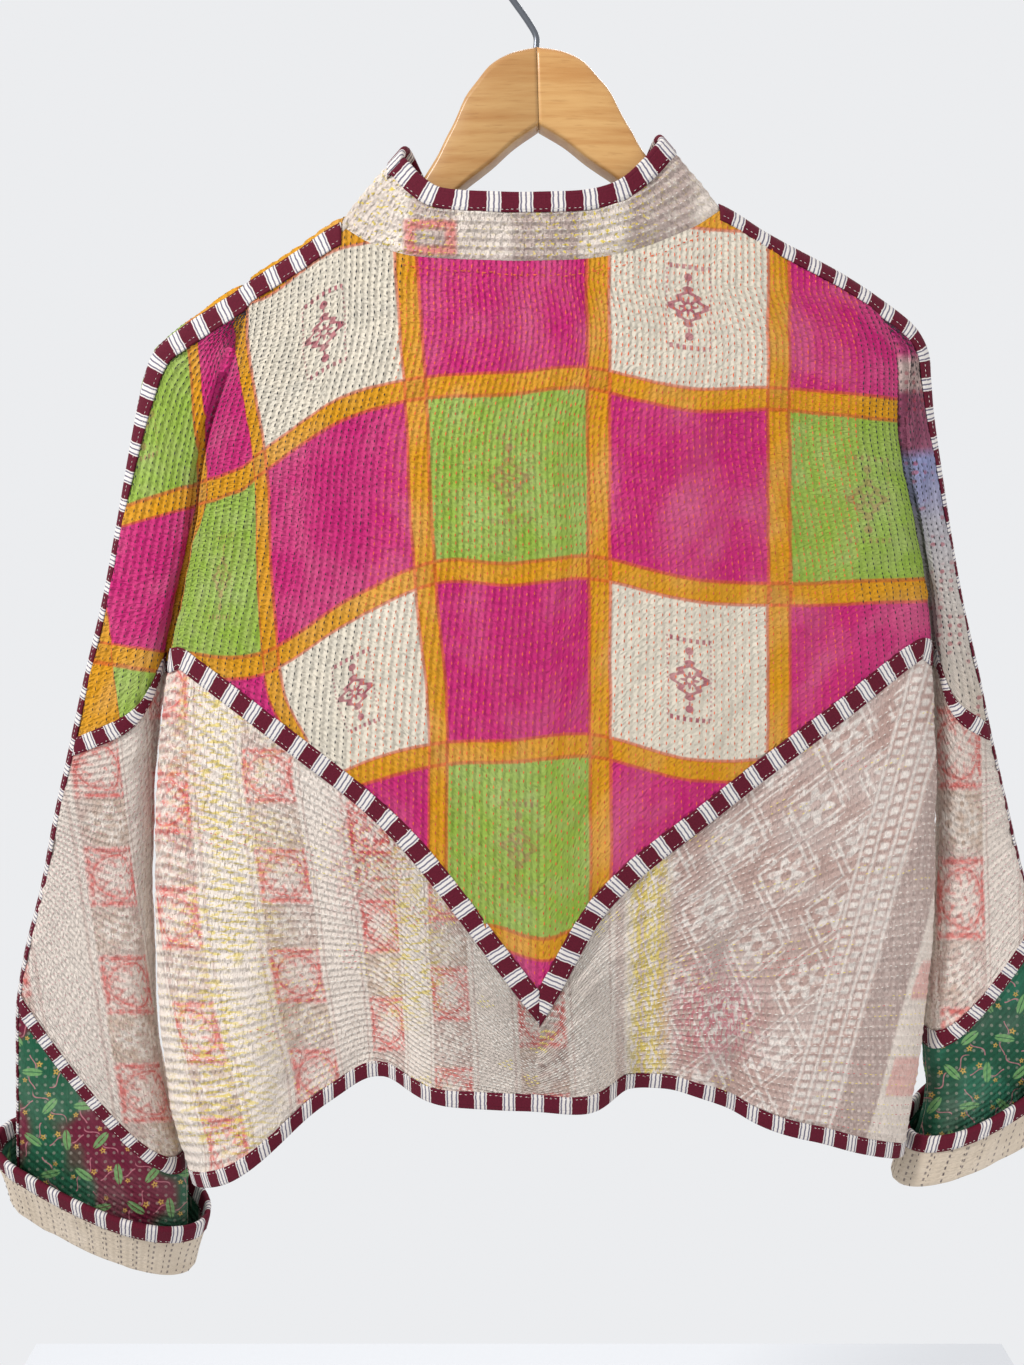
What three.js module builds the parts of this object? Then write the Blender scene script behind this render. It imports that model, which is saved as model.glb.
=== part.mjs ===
// Kantha jacket hanging on a contoured wooden hanger, in millimetres, +Z up.
// The origin is the inside top of the hook's bend. The jacket's back faces -Y, its open front
// faces +Y, and the wearer's left sleeve lies on the -X side.
// The cloth is one welded surface, worked out from the tables below. It is cut along its seams
// into the maker's pieces, and each piece is thickened into a quilted wall.
import * as THREE from "three";

// Driving dimensions
const WALL = 2.4; // quilted cloth, two layers and their stitching
const QUILT_LIFT = 0.5; // height of a quilting ridge over the wall
const SEAM_GAP = 0.36; // between two pieces that are sewn together
const STRIP_WIDTH = 15; // striped strip sewn over a seam
const STRIP_WALL = 0.9;
const STRIP_CLEARANCE = 0.35; // between a strip and the cloth below it
const STRIP_END_GAP = 0.5;
const EDGE_BINDING = 12; // how far a folded edge binding reaches over the cloth
const WEB = 8; // cloth between body and sleeve at the bottom of the side fold
const WEB_HALF_DEPTH = 1.6; // half of the hollow where the side fold closes
const FRONT_GAP = 24; // open front, between the two front edges
const SHOULDER_ROLL = 13; // radius of the cloth over the hanger's arm
const ROLL_ANGLE = THREE.MathUtils.degToRad(80);
const ROLL_ARC = SHOULDER_ROLL * ROLL_ANGLE;
const ROLL_DROP = SHOULDER_ROLL * (1 - Math.cos(ROLL_ANGLE));
const ROLL_REACH = SHOULDER_ROLL * Math.sin(ROLL_ANGLE);
const FULLNESS = { back: 34, front: 38 }; // how far each wall swings out below the roll
const FULLNESS_LENGTH = 160; // arc over which it swings out
const BODY_ROUNDNESS = 3.5; // exponent of the body's rounded section
const SLEEVE_ROUNDNESS = 2.4;
const HANGER_CURVE = { start: 0, reach: 36, width: 170 }; // arms that curve to the front
const HANGER_THICKNESS = 19;
const HANGER_TILT = THREE.MathUtils.degToRad(-2); // the right arm hangs a little higher
const HANGER_APEX = -75; // top of the wood under the hook
const WIRE = 4; // hook wire
const HOOK_RADIUS = 24; // of the hook's centre line
const COLLAR = { rise: 40, frontRise: 46, taper: 0.32, lean: 0.9, frontLean: 1.1, bow: 3, bowDepth: 15 };
const COLLAR_ROWS = [0, 0.2, 0.45, 0.72, 1];
const NECK_CURVE = 2.2; // how late the front neck seam swings in to the front edge
const NECK_FALL = 1.1; // how evenly the front neck seam falls
const OPEN_SPREAD = 0.96; // share of the front's width that its neck columns spread over
const FRONT_MID = -600; // height at which a front column's place across the body is read
const OVERARM_NECK_GAP = 3; // between the collar and the end of a shoulder strip

// Shoulder ridge from the left side fold, through the neck, to the right side fold
const RIDGE = [
  { x: -215, z: -222.5 },
  { x: -196, z: -211 },
  { x: -160, z: -192 },
  { x: -127, z: -174 },
  { x: -60, z: -155 },
  { x: 0, z: -150 },
  { x: 60, z: -152 },
  { x: 125, z: -166 },
  { x: 160, z: -183 },
  { x: 200, z: -200.5 },
  { x: 215, z: -207.5 },
  { x: 240, z: -221 },
];

// Ends of the neck on the two shoulders, and the back neck seam between them
const NECK = { left: -126, right: 125 };
const BACK_NECK = [
  { x: -126, z: -181 },
  { x: -105, z: -194 },
  { x: -73, z: -204 },
  { x: 5, z: -208 },
  { x: 57, z: -203 },
  { x: 105, z: -184 },
  { x: 125, z: -171 },
];
const FRONT_NECK_ARC = 93; // arc from the ridge down to the front edge at the neck

// Zigzag seam of the yoke on the body, by place across the body from -1 to 1
const ZIGZAG_TIP = -0.018;
const ZIGZAG = [
  { across: -1, z: -478 },
  { across: -0.95, z: -473 },
  { across: -0.52, z: -551 },
  { across: -0.31, z: -602 },
  { across: ZIGZAG_TIP, z: -715 },
  { across: 0.121, z: -639 },
  { across: 0.36, z: -580 },
  { across: 0.72, z: -508 },
  { across: 0.95, z: -466 },
  { across: 1, z: -473 },
];

// Hem of the body, lowest at the side seams
const HEM = [
  { across: -1, z: -900 },
  { across: -0.82, z: -872 },
  { across: -0.54, z: -815 },
  { across: -0.43, z: -797 },
  { across: -0.05, z: -794 },
  { across: 0.12, z: -799 },
  { across: 0.26, z: -797 },
  { across: 0.39, z: -799 },
  { across: 0.55, z: -824 },
  { across: 0.75, z: -843 },
  { across: 1, z: -876 },
];

// Hanging folds of the body: a positive depth is a valley, pushed into the jacket
const FOLDS = {
  back: [
    { topX: -140, topZ: -480, hemX: -110, depth: 38, left: 72, right: 30 },
    { topX: 45, topZ: -610, hemX: 88, depth: 32, left: 22, right: 52 },
    { topX: 150, topZ: -640, hemX: 158, depth: 7, left: 14, right: 20 },
    { topX: -225, topZ: -600, hemX: -232, depth: -12, left: 40, right: 40 },
    { topX: 240, topZ: -600, hemX: 246, depth: -8, left: 40, right: 40 },
  ],
  front: [
    { topX: -150, topZ: -470, hemX: -160, depth: 20, left: 45, right: 40 },
    { topX: 120, topZ: -480, hemX: 150, depth: 18, left: 40, right: 45 },
  ],
};
const FOLD_HEM = -860; // height at which a fold has its full depth

// The two sides. `fold` is the valley between body and sleeve, then the gap beside the side
// seam. `overarm` is the outer fold from the shoulder to the cuff, `inner` the sleeve's inner
// edge from the underarm to the cuff. `seam` is how far behind the overarm its seam runs.
const SIDES = {
  left: {
    sign: -1,
    fold: [
      { z: -211, x: -196 },
      { z: -251, x: -203 },
      { z: -322, x: -229 },
      { z: -395, x: -246 },
      { z: -470, x: -268 },
      { z: -560, x: -283 },
      { z: -700, x: -292 },
      { z: -830, x: -290 },
      { z: -900, x: -275 },
    ],
    overarm: [
      { x: -200, z: -213.5, mark: "shoulder" },
      { x: -241, z: -238 },
      { x: -265, z: -258 },
      { x: -277, z: -291 },
      { x: -295, z: -360 },
      { x: -310, z: -420 },
      { x: -327, z: -475 },
      { x: -346, z: -540, mark: "zigzag" },
      { x: -366, z: -609 },
      { x: -381, z: -666 },
      { x: -396, z: -712 },
      { x: -405, z: -750, mark: "second" },
      { x: -413, z: -837 },
      { x: -420, z: -925, mark: "cuff" },
      { x: -421, z: -935 },
    ],
    inner: [
      { x: -273, z: -478, mark: "zigzag" },
      { x: -281, z: -515 },
      { x: -294, z: -620 },
      { x: -299, z: -735 },
      { x: -297, z: -830 },
      { x: -284, z: -893, mark: "second" },
      { x: -284, z: -940 },
      { x: -286, z: -985, mark: "cuff" },
      { x: -286, z: -995 },
    ],
    seam: { shoulder: 14, zigzag: 6, cuff: 3 },
    cuffFlare: 19,
  },
  right: {
    sign: 1,
    fold: [
      { z: -221, x: 240 },
      { z: -257, x: 256 },
      { z: -319, x: 261 },
      { z: -402, x: 286 },
      { z: -470, x: 300 },
      { z: -560, x: 309 },
      { z: -662, x: 316 },
      { z: -770, x: 314 },
      { z: -876, x: 306 },
    ],
    overarm: [
      { x: 244, z: -223.5, mark: "shoulder" },
      { x: 263, z: -236 },
      { x: 278, z: -254 },
      { x: 285, z: -293 },
      { x: 300, z: -360 },
      { x: 316, z: -425 },
      { x: 335, z: -488 },
      { x: 347, z: -530, mark: "zigzag" },
      { x: 356, z: -560 },
      { x: 376, z: -625 },
      { x: 396, z: -690, mark: "second" },
      { x: 412, z: -760 },
      { x: 424, z: -850, mark: "cuff" },
      { x: 425, z: -860 },
    ],
    inner: [
      { x: 305, z: -473, mark: "zigzag" },
      { x: 311, z: -530 },
      { x: 320, z: -640 },
      { x: 320, z: -720 },
      { x: 320, z: -782, mark: "second" },
      { x: 326, z: -850 },
      { x: 309, z: -905, mark: "cuff" },
      { x: 306, z: -914 },
    ],
    seam: { shoulder: 12, zigzag: 3, cuff: 3 },
    cuffFlare: 15,
  },
};
const CUFF_TURN = 48; // height of the turned-back cuff
const CUFF_FOLD = 3.5; // radius of its fold
const ZIGZAG_SAG = 36; // dip of the zigzag seam on the sleeve, towards the side fold

// Sampling of the surface
const UPPER_ROWS = 10; // from the shoulder strip to the zigzag seam
const OVERARM_STEPS = [0, 0.09, 0.15, 0.21, 0.28, 0.4, 0.55, 0.7, 0.86];
const LOWER_ROWS = 6; // body rows between the strip below the zigzag and the hem binding
const MIDDLE_ROWS = 4;
const END_ROWS = 3;
const SLEEVE_STEPS = [0.25, 0.5, 0.72, 0.89, 1];
const NECK_STEPS = [0.125, 0.25, 0.375, 0.5, 0.625, 0.75, 0.875];
const LEFT_SHOULDER = [-1, -0.99, -0.95, -0.88, -0.79];
const NECK_COLUMNS = [-0.6, -0.5, -0.41, -0.32, -0.22, -0.12, ZIGZAG_TIP, 0.08, 0.18, 0.28, 0.38];
const RIGHT_SHOULDER = [0.6, 0.72, 0.83, 0.91, 0.96, 0.99, 1];

const { lerp, smoothstep, clamp } = THREE.MathUtils;

// Smooth curve through a table's rows, straight beyond its ends.
function curve(rows, key, value) {
  const sorted = [...rows].sort((a, b) => a[key] - b[key]);
  const keys = sorted.map((row) => row[key]);
  const values = sorted.map((row) => row[value]);
  const last = keys.length - 1;
  const slopes = keys.map((_, i) => {
    const from = Math.max(i - 1, 0);
    const to = Math.min(i + 1, last);
    return (values[to] - values[from]) / (keys[to] - keys[from]);
  });
  return (at) => {
    if (at <= keys[0]) return values[0] + slopes[0] * (at - keys[0]);
    if (at >= keys[last]) return values[last] + slopes[last] * (at - keys[last]);
    const i = keys.findLastIndex((entry) => entry <= at);
    const span = keys[i + 1] - keys[i];
    const u = (at - keys[i]) / span;
    const start = values[i] * (1 + 2 * u) * (1 - u) ** 2 + slopes[i] * span * u * (1 - u) ** 2;
    const end = values[i + 1] * u * u * (3 - 2 * u) + slopes[i + 1] * span * u * u * (u - 1);
    return start + end;
  };
}

// Two smooth curves that meet in a sharp point.
function brokenCurve(rows, key, value, at) {
  const before = curve(rows.filter((row) => row[key] <= at), key, value);
  const after = curve(rows.filter((row) => row[key] >= at), key, value);
  return (u) => (u < at ? before(u) : after(u));
}

// A path in the XZ plane through a table's rows, measured along its length.
function pathOf(rows) {
  let length = 0;
  const measured = rows.map((row, i) => {
    if (i > 0) length += Math.hypot(row.x - rows[i - 1].x, row.z - rows[i - 1].z);
    return { ...row, length };
  });
  const x = curve(measured, "length", "x");
  const z = curve(measured, "length", "z");
  const marks = {};
  for (const row of measured) if (row.mark) marks[row.mark] = row.length;
  return { marks, at: (p) => ({ x: x(p), z: z(p) }) };
}

const ridgeZ = curve(RIDGE, "x", "z");
const backNeckZ = curve(BACK_NECK, "x", "z");
const zigzagZ = brokenCurve(ZIGZAG, "across", "z", ZIGZAG_TIP);
const hemZ = curve(HEM, "across", "z");
for (const side of Object.values(SIDES)) {
  side.foldX = curve(side.fold, "z", "x");
  side.overarmPath = pathOf(side.overarm);
  side.innerPath = pathOf(side.inner);
  side.underarmZ = side.inner[0].z;
  side.shoulderZ = side.fold[0].z;
}

// Depth of the middle plane between back and front: it follows the hanger's curved arms.
function middleY(x) {
  return HANGER_CURVE.start + HANGER_CURVE.reach * (1 - Math.exp(-((x / HANGER_CURVE.width) ** 2)));
}

// How far the cloth has come down, and out, at an arc measured from the ridge.
function dropAt(arc) {
  if (arc < ROLL_ARC) return SHOULDER_ROLL * (1 - Math.cos(arc / SHOULDER_ROLL));
  return ROLL_DROP + arc - ROLL_ARC;
}
function reachAt(arc, face) {
  if (arc < ROLL_ARC) return SHOULDER_ROLL * Math.sin(arc / SHOULDER_ROLL);
  return ROLL_REACH + FULLNESS[face] * (1 - Math.exp(-(arc - ROLL_ARC) / FULLNESS_LENGTH));
}
function arcAtDrop(drop) {
  if (drop < ROLL_DROP) return SHOULDER_ROLL * Math.acos(1 - Math.max(drop, 0) / SHOULDER_ROLL);
  return ROLL_ARC + drop - ROLL_DROP;
}

// How much of the full depth is left in the side fold at a height: 1 at the shoulder, 0 at the
// underarm.
function foldOpenness(side, z) {
  return 1 - smoothstep((side.shoulderZ - z) / (side.shoulderZ - side.underarmZ), 0, 1);
}

function roundness(u, exponent) {
  return Math.max(1 - Math.abs(u) ** exponent, 0) ** (1 / exponent);
}

function foldDepth(face, x, z) {
  let depth = 0;
  for (const fold of FOLDS[face]) {
    const grown = smoothstep((fold.topZ - z) / (fold.topZ - FOLD_HEM), 0, 1);
    const centre = lerp(fold.topX, fold.hemX, clamp((fold.topZ - z) / (fold.topZ - FOLD_HEM), 0, 1));
    const width = x < centre ? fold.left : fold.right;
    depth += fold.depth * grown * Math.exp(-(((x - centre) / width) ** 2));
  }
  return depth;
}

// Place across the body, from -1 at the left side to 1 at the right, to x and back.
function bodySpan(z) {
  const left = SIDES.left.foldX(Math.min(z, SIDES.left.shoulderZ)) + WEB / 2;
  const right = SIDES.right.foldX(Math.min(z, SIDES.right.shoulderZ)) - WEB / 2;
  return { middle: (left + right) / 2, half: (right - left) / 2 };
}
function bodyX(across, z) {
  const span = bodySpan(z);
  return span.middle + span.half * across;
}
function acrossAt(x, z) {
  const span = bodySpan(z);
  return (x - span.middle) / span.half;
}

const OUTWARD = { back: -1, front: 1 };

// A point of the body's back or front wall at a place in the XZ plane.
function bodyPoint(face, x, z) {
  const across = clamp(acrossAt(x, z), -1, 1);
  const side = across < 0 ? SIDES.left : SIDES.right;
  const open = foldOpenness(side, z);
  const full = reachAt(arcAtDrop(ridgeZ(x) - z), face);
  let depth = full * (open + (1 - open) * roundness(across, BODY_ROUNDNESS));
  if (z > side.underarmZ - 0.01) depth = Math.max(depth, WEB_HALF_DEPTH);
  depth -= foldDepth(face, x, z) * (1 - Math.abs(across) ** 8);
  return new THREE.Vector3(x, middleY(x) + OUTWARD[face] * depth, z);
}

// A point near the ridge, at an arc from it: negative arcs lie on the other face.
function ridgePoint(face, x, arc) {
  const y = middleY(x) + Math.sign(arc) * OUTWARD[face] * reachAt(Math.abs(arc), face);
  return new THREE.Vector3(x, y, ridgeZ(x) - dropAt(Math.abs(arc)));
}

// The welded surface: its points, its named pieces' quads and the grids that strips follow.
const points = [];
const lifts = [];
const welded = new Map();
const quads = [];

function weld(point) {
  const key = [point.x, point.y, point.z].map((value) => Math.round(value * 1000)).join(" ");
  if (!welded.has(key)) {
    welded.set(key, points.length);
    points.push(point);
    lifts.push(0);
  }
  return welded.get(key);
}

// Adds a grid of welded points as quads that face out of the jacket. Without a flip, a grid faces
// up from columns to the right and rows away from the viewer.
function addGrid(grid, flip, pieceOfRow) {
  for (let row = 0; row + 1 < grid.length; row += 1) {
    for (let column = 0; column + 1 < grid[row].length; column += 1) {
      const corners = [
        grid[row][column],
        grid[row][column + 1],
        grid[row + 1][column + 1],
        grid[row + 1][column],
      ];
      quads.push({ corners: flip ? corners.reverse() : corners, piece: pieceOfRow(row) });
    }
  }
}

// Rows down one column of the body: the top boundary, the strip's edge, the upper rows to the
// zigzag seam, the lower rows to the hem.
function stripMargin(across) {
  const step = 0.02;
  const place = clamp(across, -0.9, 0.9);
  const from = place < ZIGZAG_TIP ? place - step : place;
  const rise = (zigzagZ(from + step) - zigzagZ(from)) / (step * bodySpan(-560).half);
  return (STRIP_WIDTH / 2) * Math.hypot(1, rise);
}
function upperHeights(startZ, across) {
  const seamZ = zigzagZ(across);
  const heights = [];
  for (let k = 1; k < UPPER_ROWS; k += 1) {
    heights.push(lerp(startZ, seamZ + stripMargin(across), k / (UPPER_ROWS - 1)));
  }
  heights.push(seamZ);
  return heights;
}
function lowerHeights(across) {
  const top = zigzagZ(across) - stripMargin(across);
  const bottom = hemZ(across) + EDGE_BINDING;
  const heights = [top];
  for (let k = 1; k <= LOWER_ROWS; k += 1) heights.push(lerp(top, bottom, k / LOWER_ROWS));
  heights.push(hemZ(across));
  return heights;
}

const neckAcross = {
  left: acrossAt(NECK.left, ridgeZ(NECK.left)),
  right: acrossAt(NECK.right, ridgeZ(NECK.right)),
};
const SHOULDER_COLUMNS = {
  left: [...LEFT_SHOULDER, neckAcross.left],
  right: [neckAcross.right, ...RIGHT_SHOULDER].reverse(),
};

function transpose(columns) {
  return columns[0].map((_, row) => columns.map((column) => column[row]));
}

// The back of the body, one column at a time.
function bodyBack() {
  const shoulder = (across, side) => {
    const x = bodyX(across, side.shoulderZ);
    const strip = ridgePoint("back", x, side.seam.shoulder + STRIP_WIDTH / 2);
    return { tops: [ridgePoint("back", x, side.seam.shoulder), strip], startZ: strip.z };
  };
  const neck = (across) => {
    const x = bodyX(across, -200);
    const startZ = backNeckZ(x) - STRIP_WIDTH / 2;
    return { tops: [bodyPoint("back", x, backNeckZ(x)), bodyPoint("back", x, startZ)], startZ };
  };
  const column = (across, { tops, startZ }) => {
    const heights = [...upperHeights(startZ, across), ...lowerHeights(across)];
    const hanging = heights.map((z) => bodyPoint("back", bodyX(across, z), z));
    return [...tops, ...hanging].map(weld);
  };
  return transpose([
    ...SHOULDER_COLUMNS.left.map((across) => column(across, shoulder(across, SIDES.left))),
    ...NECK_COLUMNS.map((across) => column(across, neck(across))),
    ...[...SHOULDER_COLUMNS.right].reverse().map((u) => column(u, shoulder(u, SIDES.right))),
  ]);
}

// One front, from its side to its front edge. Its top rows come over the ridge from the back.
function bodyFront(name) {
  const side = SIDES[name];
  const edgeX = (side.sign * FRONT_GAP) / 2;
  const topArcs = (first) => [0, 1, 2, 3].map((k) => first + (k * STRIP_WIDTH) / 2);
  const column = (first, topX, lowX, across) => {
    const tops = topArcs(first).map((arc) => ridgePoint("front", topX, arc));
    const startZ = tops[3].z;
    const heights = [...upperHeights(startZ, across), ...lowerHeights(across)];
    const reach = startZ - zigzagZ(across);
    const hanging = heights.map((z) => {
      const x = lerp(topX, lowX(z), smoothstep((startZ - z) / reach, 0, 1));
      return bodyPoint("front", x, z);
    });
    return [...tops, ...hanging].map(weld);
  };
  const shoulders = SHOULDER_COLUMNS[name].map((across) => {
    const topX = bodyX(across, side.shoulderZ);
    const tops = topArcs(-side.seam.shoulder).map((arc) => ridgePoint("front", topX, arc));
    const heights = [...upperHeights(tops[3].z, across), ...lowerHeights(across)];
    const hanging = heights.map((z) => bodyPoint("front", bodyX(across, z), z));
    return [...tops, ...hanging].map(weld);
  });
  const neckX = bodyX(neckAcross[name], side.shoulderZ);
  const toEdge = (place, topX, lowX) => {
    const first = -side.seam.shoulder + (FRONT_NECK_ARC + side.seam.shoulder) * place ** NECK_FALL;
    return column(first, topX, lowX, acrossAt(lowX(FRONT_MID), FRONT_MID));
  };
  const open = NECK_STEPS.map((place) => {
    const topX = lerp(neckX, edgeX, place ** NECK_CURVE);
    const lowX = (z) => lerp(bodyX(neckAcross[name], z), edgeX, place * OPEN_SPREAD);
    return toEdge(place, topX, lowX);
  });
  const boundX = edgeX + side.sign * EDGE_BINDING;
  const boundPlace = ((neckX - boundX) / (neckX - edgeX)) ** (1 / NECK_CURVE);
  open.push(toEdge(boundPlace, boundX, () => boundX));
  open.push(toEdge(1, edgeX, () => edgeX));
  return transpose([...shoulders, ...open]);
}

// The plan of the sleeve: one line for each row, from the overarm to the side fold or the
// sleeve's inner edge, with the sag of its seam, and how far it is turned back over itself.
function sleeveLines(side) {
  const over = side.overarmPath.marks;
  const under = side.innerPath.marks;
  const margin = 9;
  const lines = [];
  const seamArc = (p) => {
    if (p < over.zigzag) {
      return lerp(side.seam.shoulder, side.seam.zigzag, smoothstep(p / over.zigzag, 0, 0.6));
    }
    return lerp(side.seam.zigzag, side.seam.cuff, (p - over.zigzag) / (over.cuff - over.zigzag));
  };
  const add = (p, extra) => lines.push({ p, seamArc: seamArc(p), sag: 0, turn: 0, ...extra });
  for (let k = 0; k <= UPPER_ROWS; k += 1) {
    let p = OVERARM_STEPS[k] * over.zigzag;
    if (k === UPPER_ROWS - 1) p = over.zigzag - margin;
    if (k === UPPER_ROWS) p = over.zigzag;
    add(p, { fold: k, sag: ZIGZAG_SAG * (k / UPPER_ROWS) ** 2 });
  }
  const stretch = (fromP, toP, fromI, toI, rows, sag) => {
    for (let k = 0; k <= rows; k += 1) {
      const u = k / rows;
      const p = lerp(fromP + margin, toP - margin, u);
      add(p, { inner: lerp(fromI + margin, toI - margin, u), sag: sag(u) });
    }
  };
  stretch(over.zigzag, over.second, under.zigzag, under.second, MIDDLE_ROWS, (u) =>
    lerp(ZIGZAG_SAG, 8, u)
  );
  add(over.second, { inner: under.second, sag: 8 });
  stretch(over.second, over.cuff, under.second, under.cuff, END_ROWS, (u) => lerp(8, 0, u));
  const turned = [
    { above: 0, turn: 0 },
    { above: -CUFF_FOLD, turn: CUFF_FOLD },
    { above: 0, turn: 2 * CUFF_FOLD },
    { above: CUFF_TURN / 3, turn: lerp(2 * CUFF_FOLD, side.cuffFlare, 0.3) },
    { above: CUFF_TURN - EDGE_BINDING, turn: lerp(2 * CUFF_FOLD, side.cuffFlare, 0.75) },
    { above: CUFF_TURN, turn: side.cuffFlare },
  ];
  for (const { above, turn } of turned) {
    add(over.cuff - above, { inner: under.cuff - above, turn });
  }
  return lines;
}

// One face of a sleeve. `foldHeights` are the heights of the body's side column.
function sleeveFace(side, face, foldHeights) {
  const bands = face === "back" ? [0, 1] : [0, 1, 2, 3];
  const direction = face === "back" ? 1 : -1;
  return sleeveLines(side).map((line, row) => {
    const outer = side.overarmPath.at(line.p);
    const ahead = side.overarmPath.at(line.p + 1);
    const tangent = { x: ahead.x - outer.x, z: ahead.z - outer.z };
    const size = Math.hypot(tangent.x, tangent.z);
    const inside = { x: (side.sign * tangent.z) / size, z: (-side.sign * tangent.x) / size };
    const upper = line.fold !== undefined;
    const height = upper ? foldHeights[line.fold] : 0;
    const corner = { x: side.foldX(height) + (side.sign * WEB) / 2, z: height };
    const end = upper ? corner : side.innerPath.at(line.inner);
    const out = { x: outer.x - end.x, z: outer.z - end.z };
    const breadth = Math.hypot(out.x, out.z);
    const open = upper ? foldOpenness(side, height) : 0;
    const place = (x, z, depth, angle) => {
      const push = (line.turn * Math.cos(angle)) / breadth;
      const y = middleY(x) + OUTWARD[face] * (depth + line.turn * Math.sin(angle));
      return weld(new THREE.Vector3(x + out.x * push, y, z + out.z * push));
    };
    const band = bands.map((k) => {
      const arc = direction * line.seamArc + (k * STRIP_WIDTH) / 2;
      const drop = dropAt(Math.abs(arc));
      const angle = clamp(arc / SHOULDER_ROLL, -ROLL_ANGLE, ROLL_ANGLE);
      const depth = Math.sign(arc) * reachAt(Math.abs(arc), face);
      return place(outer.x + inside.x * drop, outer.z + inside.z * drop, depth, angle);
    });
    if (row === 0) return [...band, ...SLEEVE_STEPS.map(() => band.at(-1))];
    const lastDrop = dropAt(direction * line.seamArc + bands.at(-1) * (STRIP_WIDTH / 2));
    const from = { x: outer.x + inside.x * lastDrop, z: outer.z + inside.z * lastDrop };
    const across = Math.hypot(end.x - from.x, end.z - from.z);
    const endReach = reachAt(arcAtDrop(lastDrop + across), face);
    const endDepth = upper ? bodyPoint(face, bodyX(side.sign, height), height) : null;
    const held = upper ? Math.abs(endDepth.y - middleY(endDepth.x)) : 0;
    const region = SLEEVE_STEPS.map((u) => {
      const q = (lastDrop + across * u) / (lastDrop + across);
      const sag = line.sag * u * (1 - u ** 6);
      const full = reachAt(arcAtDrop(lastDrop + across * u), face);
      const rounded = full * (open + (1 - open) * roundness(q, SLEEVE_ROUNDNESS));
      const depth = rounded + (held - open * endReach) * q ** 3;
      const angle = lerp(ROLL_ANGLE, Math.PI, u ** 3);
      return place(lerp(from.x, end.x, u), lerp(from.z, end.z, u) - sag, depth, angle);
    });
    return [...band, ...region];
  });
}

const STRIP_ROW = { back: 1, front: 3 }; // row of the edge below the shoulder strip
const zigzagRow = (face) => STRIP_ROW[face] + UPPER_ROWS;
const SLEEVE_ZIGZAG = UPPER_ROWS;
const SLEEVE_SECOND = SLEEVE_ZIGZAG + MIDDLE_ROWS + 2;

const body = { back: bodyBack(), left: bodyFront("left"), right: bodyFront("right") };
const sleeves = {};
for (const [name, side] of Object.entries(SIDES)) {
  sleeves[name] = {};
  for (const face of ["back", "front"]) {
    const grid = face === "back" ? body.back : body[name];
    const column = face === "back" && name === "right" ? grid[0].length - 1 : 0;
    const sideColumn = grid.map((row) => row[column]);
    const heights = sideColumn.slice(STRIP_ROW[face]).map((id) => points[id].z);
    const sleeve = sleeveFace(side, face, heights);
    sleeves[name][face] = sleeve;
    const yoke = face === "back" ? "back_yoke" : `front_yoke_${name}`;
    const flip = (face === "back") === (side.sign < 0);
    addGrid(sleeve, flip, (row) => {
      if (row < SLEEVE_ZIGZAG) return yoke;
      return `sleeve_${row < SLEEVE_SECOND ? "middle" : "end"}_${face}_${name}`;
    });
    // the web at the bottom of the side fold
    const bands = STRIP_ROW[face];
    const web = sideColumn.slice(0, zigzagRow(face) + 1).map((id, row) => {
      const line = row <= bands ? sleeve[0] : sleeve[row - bands];
      return [row <= bands ? line[row] : line.at(-1), id];
    });
    addGrid(web, flip, () => yoke);
  }
}
addGrid(body.back, true, (row) => (row < zigzagRow("back") ? "back_yoke" : "back_lower"));
for (const name of ["left", "right"]) {
  addGrid(body[name], name === "right", (row) => {
    return `front_${row < zigzagRow("front") ? "yoke" : "lower"}_${name}`;
  });
}

// The stand collar rises from the neck row of the two fronts and the back.
function collarGrid() {
  const neckColumn = SHOULDER_COLUMNS.left.length - 1;
  const backNeck = body.back[0].slice(neckColumn, neckColumn + NECK_COLUMNS.length + 2);
  const leftNeck = body.left[0].slice(SHOULDER_COLUMNS.left.length).reverse();
  const rightNeck = body.right[0].slice(SHOULDER_COLUMNS.right.length);
  const base = [...leftNeck, ...backNeck, ...rightNeck];
  return COLLAR_ROWS.map((u) =>
    base.map((id, column) => {
      if (u === 0) return id;
      const foot = points[id];
      const isFront = column < leftNeck.length || column >= base.length - rightNeck.length;
      const sideways = smoothstep(Math.abs(foot.x) / Math.abs(NECK.left), 0, 1);
      const topX = foot.x * (1 - COLLAR.taper * sideways);
      const offset = foot.y - middleY(foot.x);
      const lean = offset > 0 ? COLLAR.frontLean : COLLAR.lean;
      const towardEdge = isFront ? 1 - Math.abs(foot.x) / Math.abs(NECK.left) : 0;
      const topZ = foot.z + lerp(COLLAR.rise, COLLAR.frontRise, towardEdge);
      const top = new THREE.Vector3(topX, middleY(topX) + offset * lean, topZ);
      const point = foot.clone().lerp(top, u);
      const outward = Math.sign(offset) * Math.min(1, Math.abs(offset) / COLLAR.bowDepth);
      point.y += COLLAR.bow * Math.sin(Math.PI * u) * outward;
      return weld(point);
    })
  );
}
const collar = collarGrid();
addGrid(collar, false, () => "collar");

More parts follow.
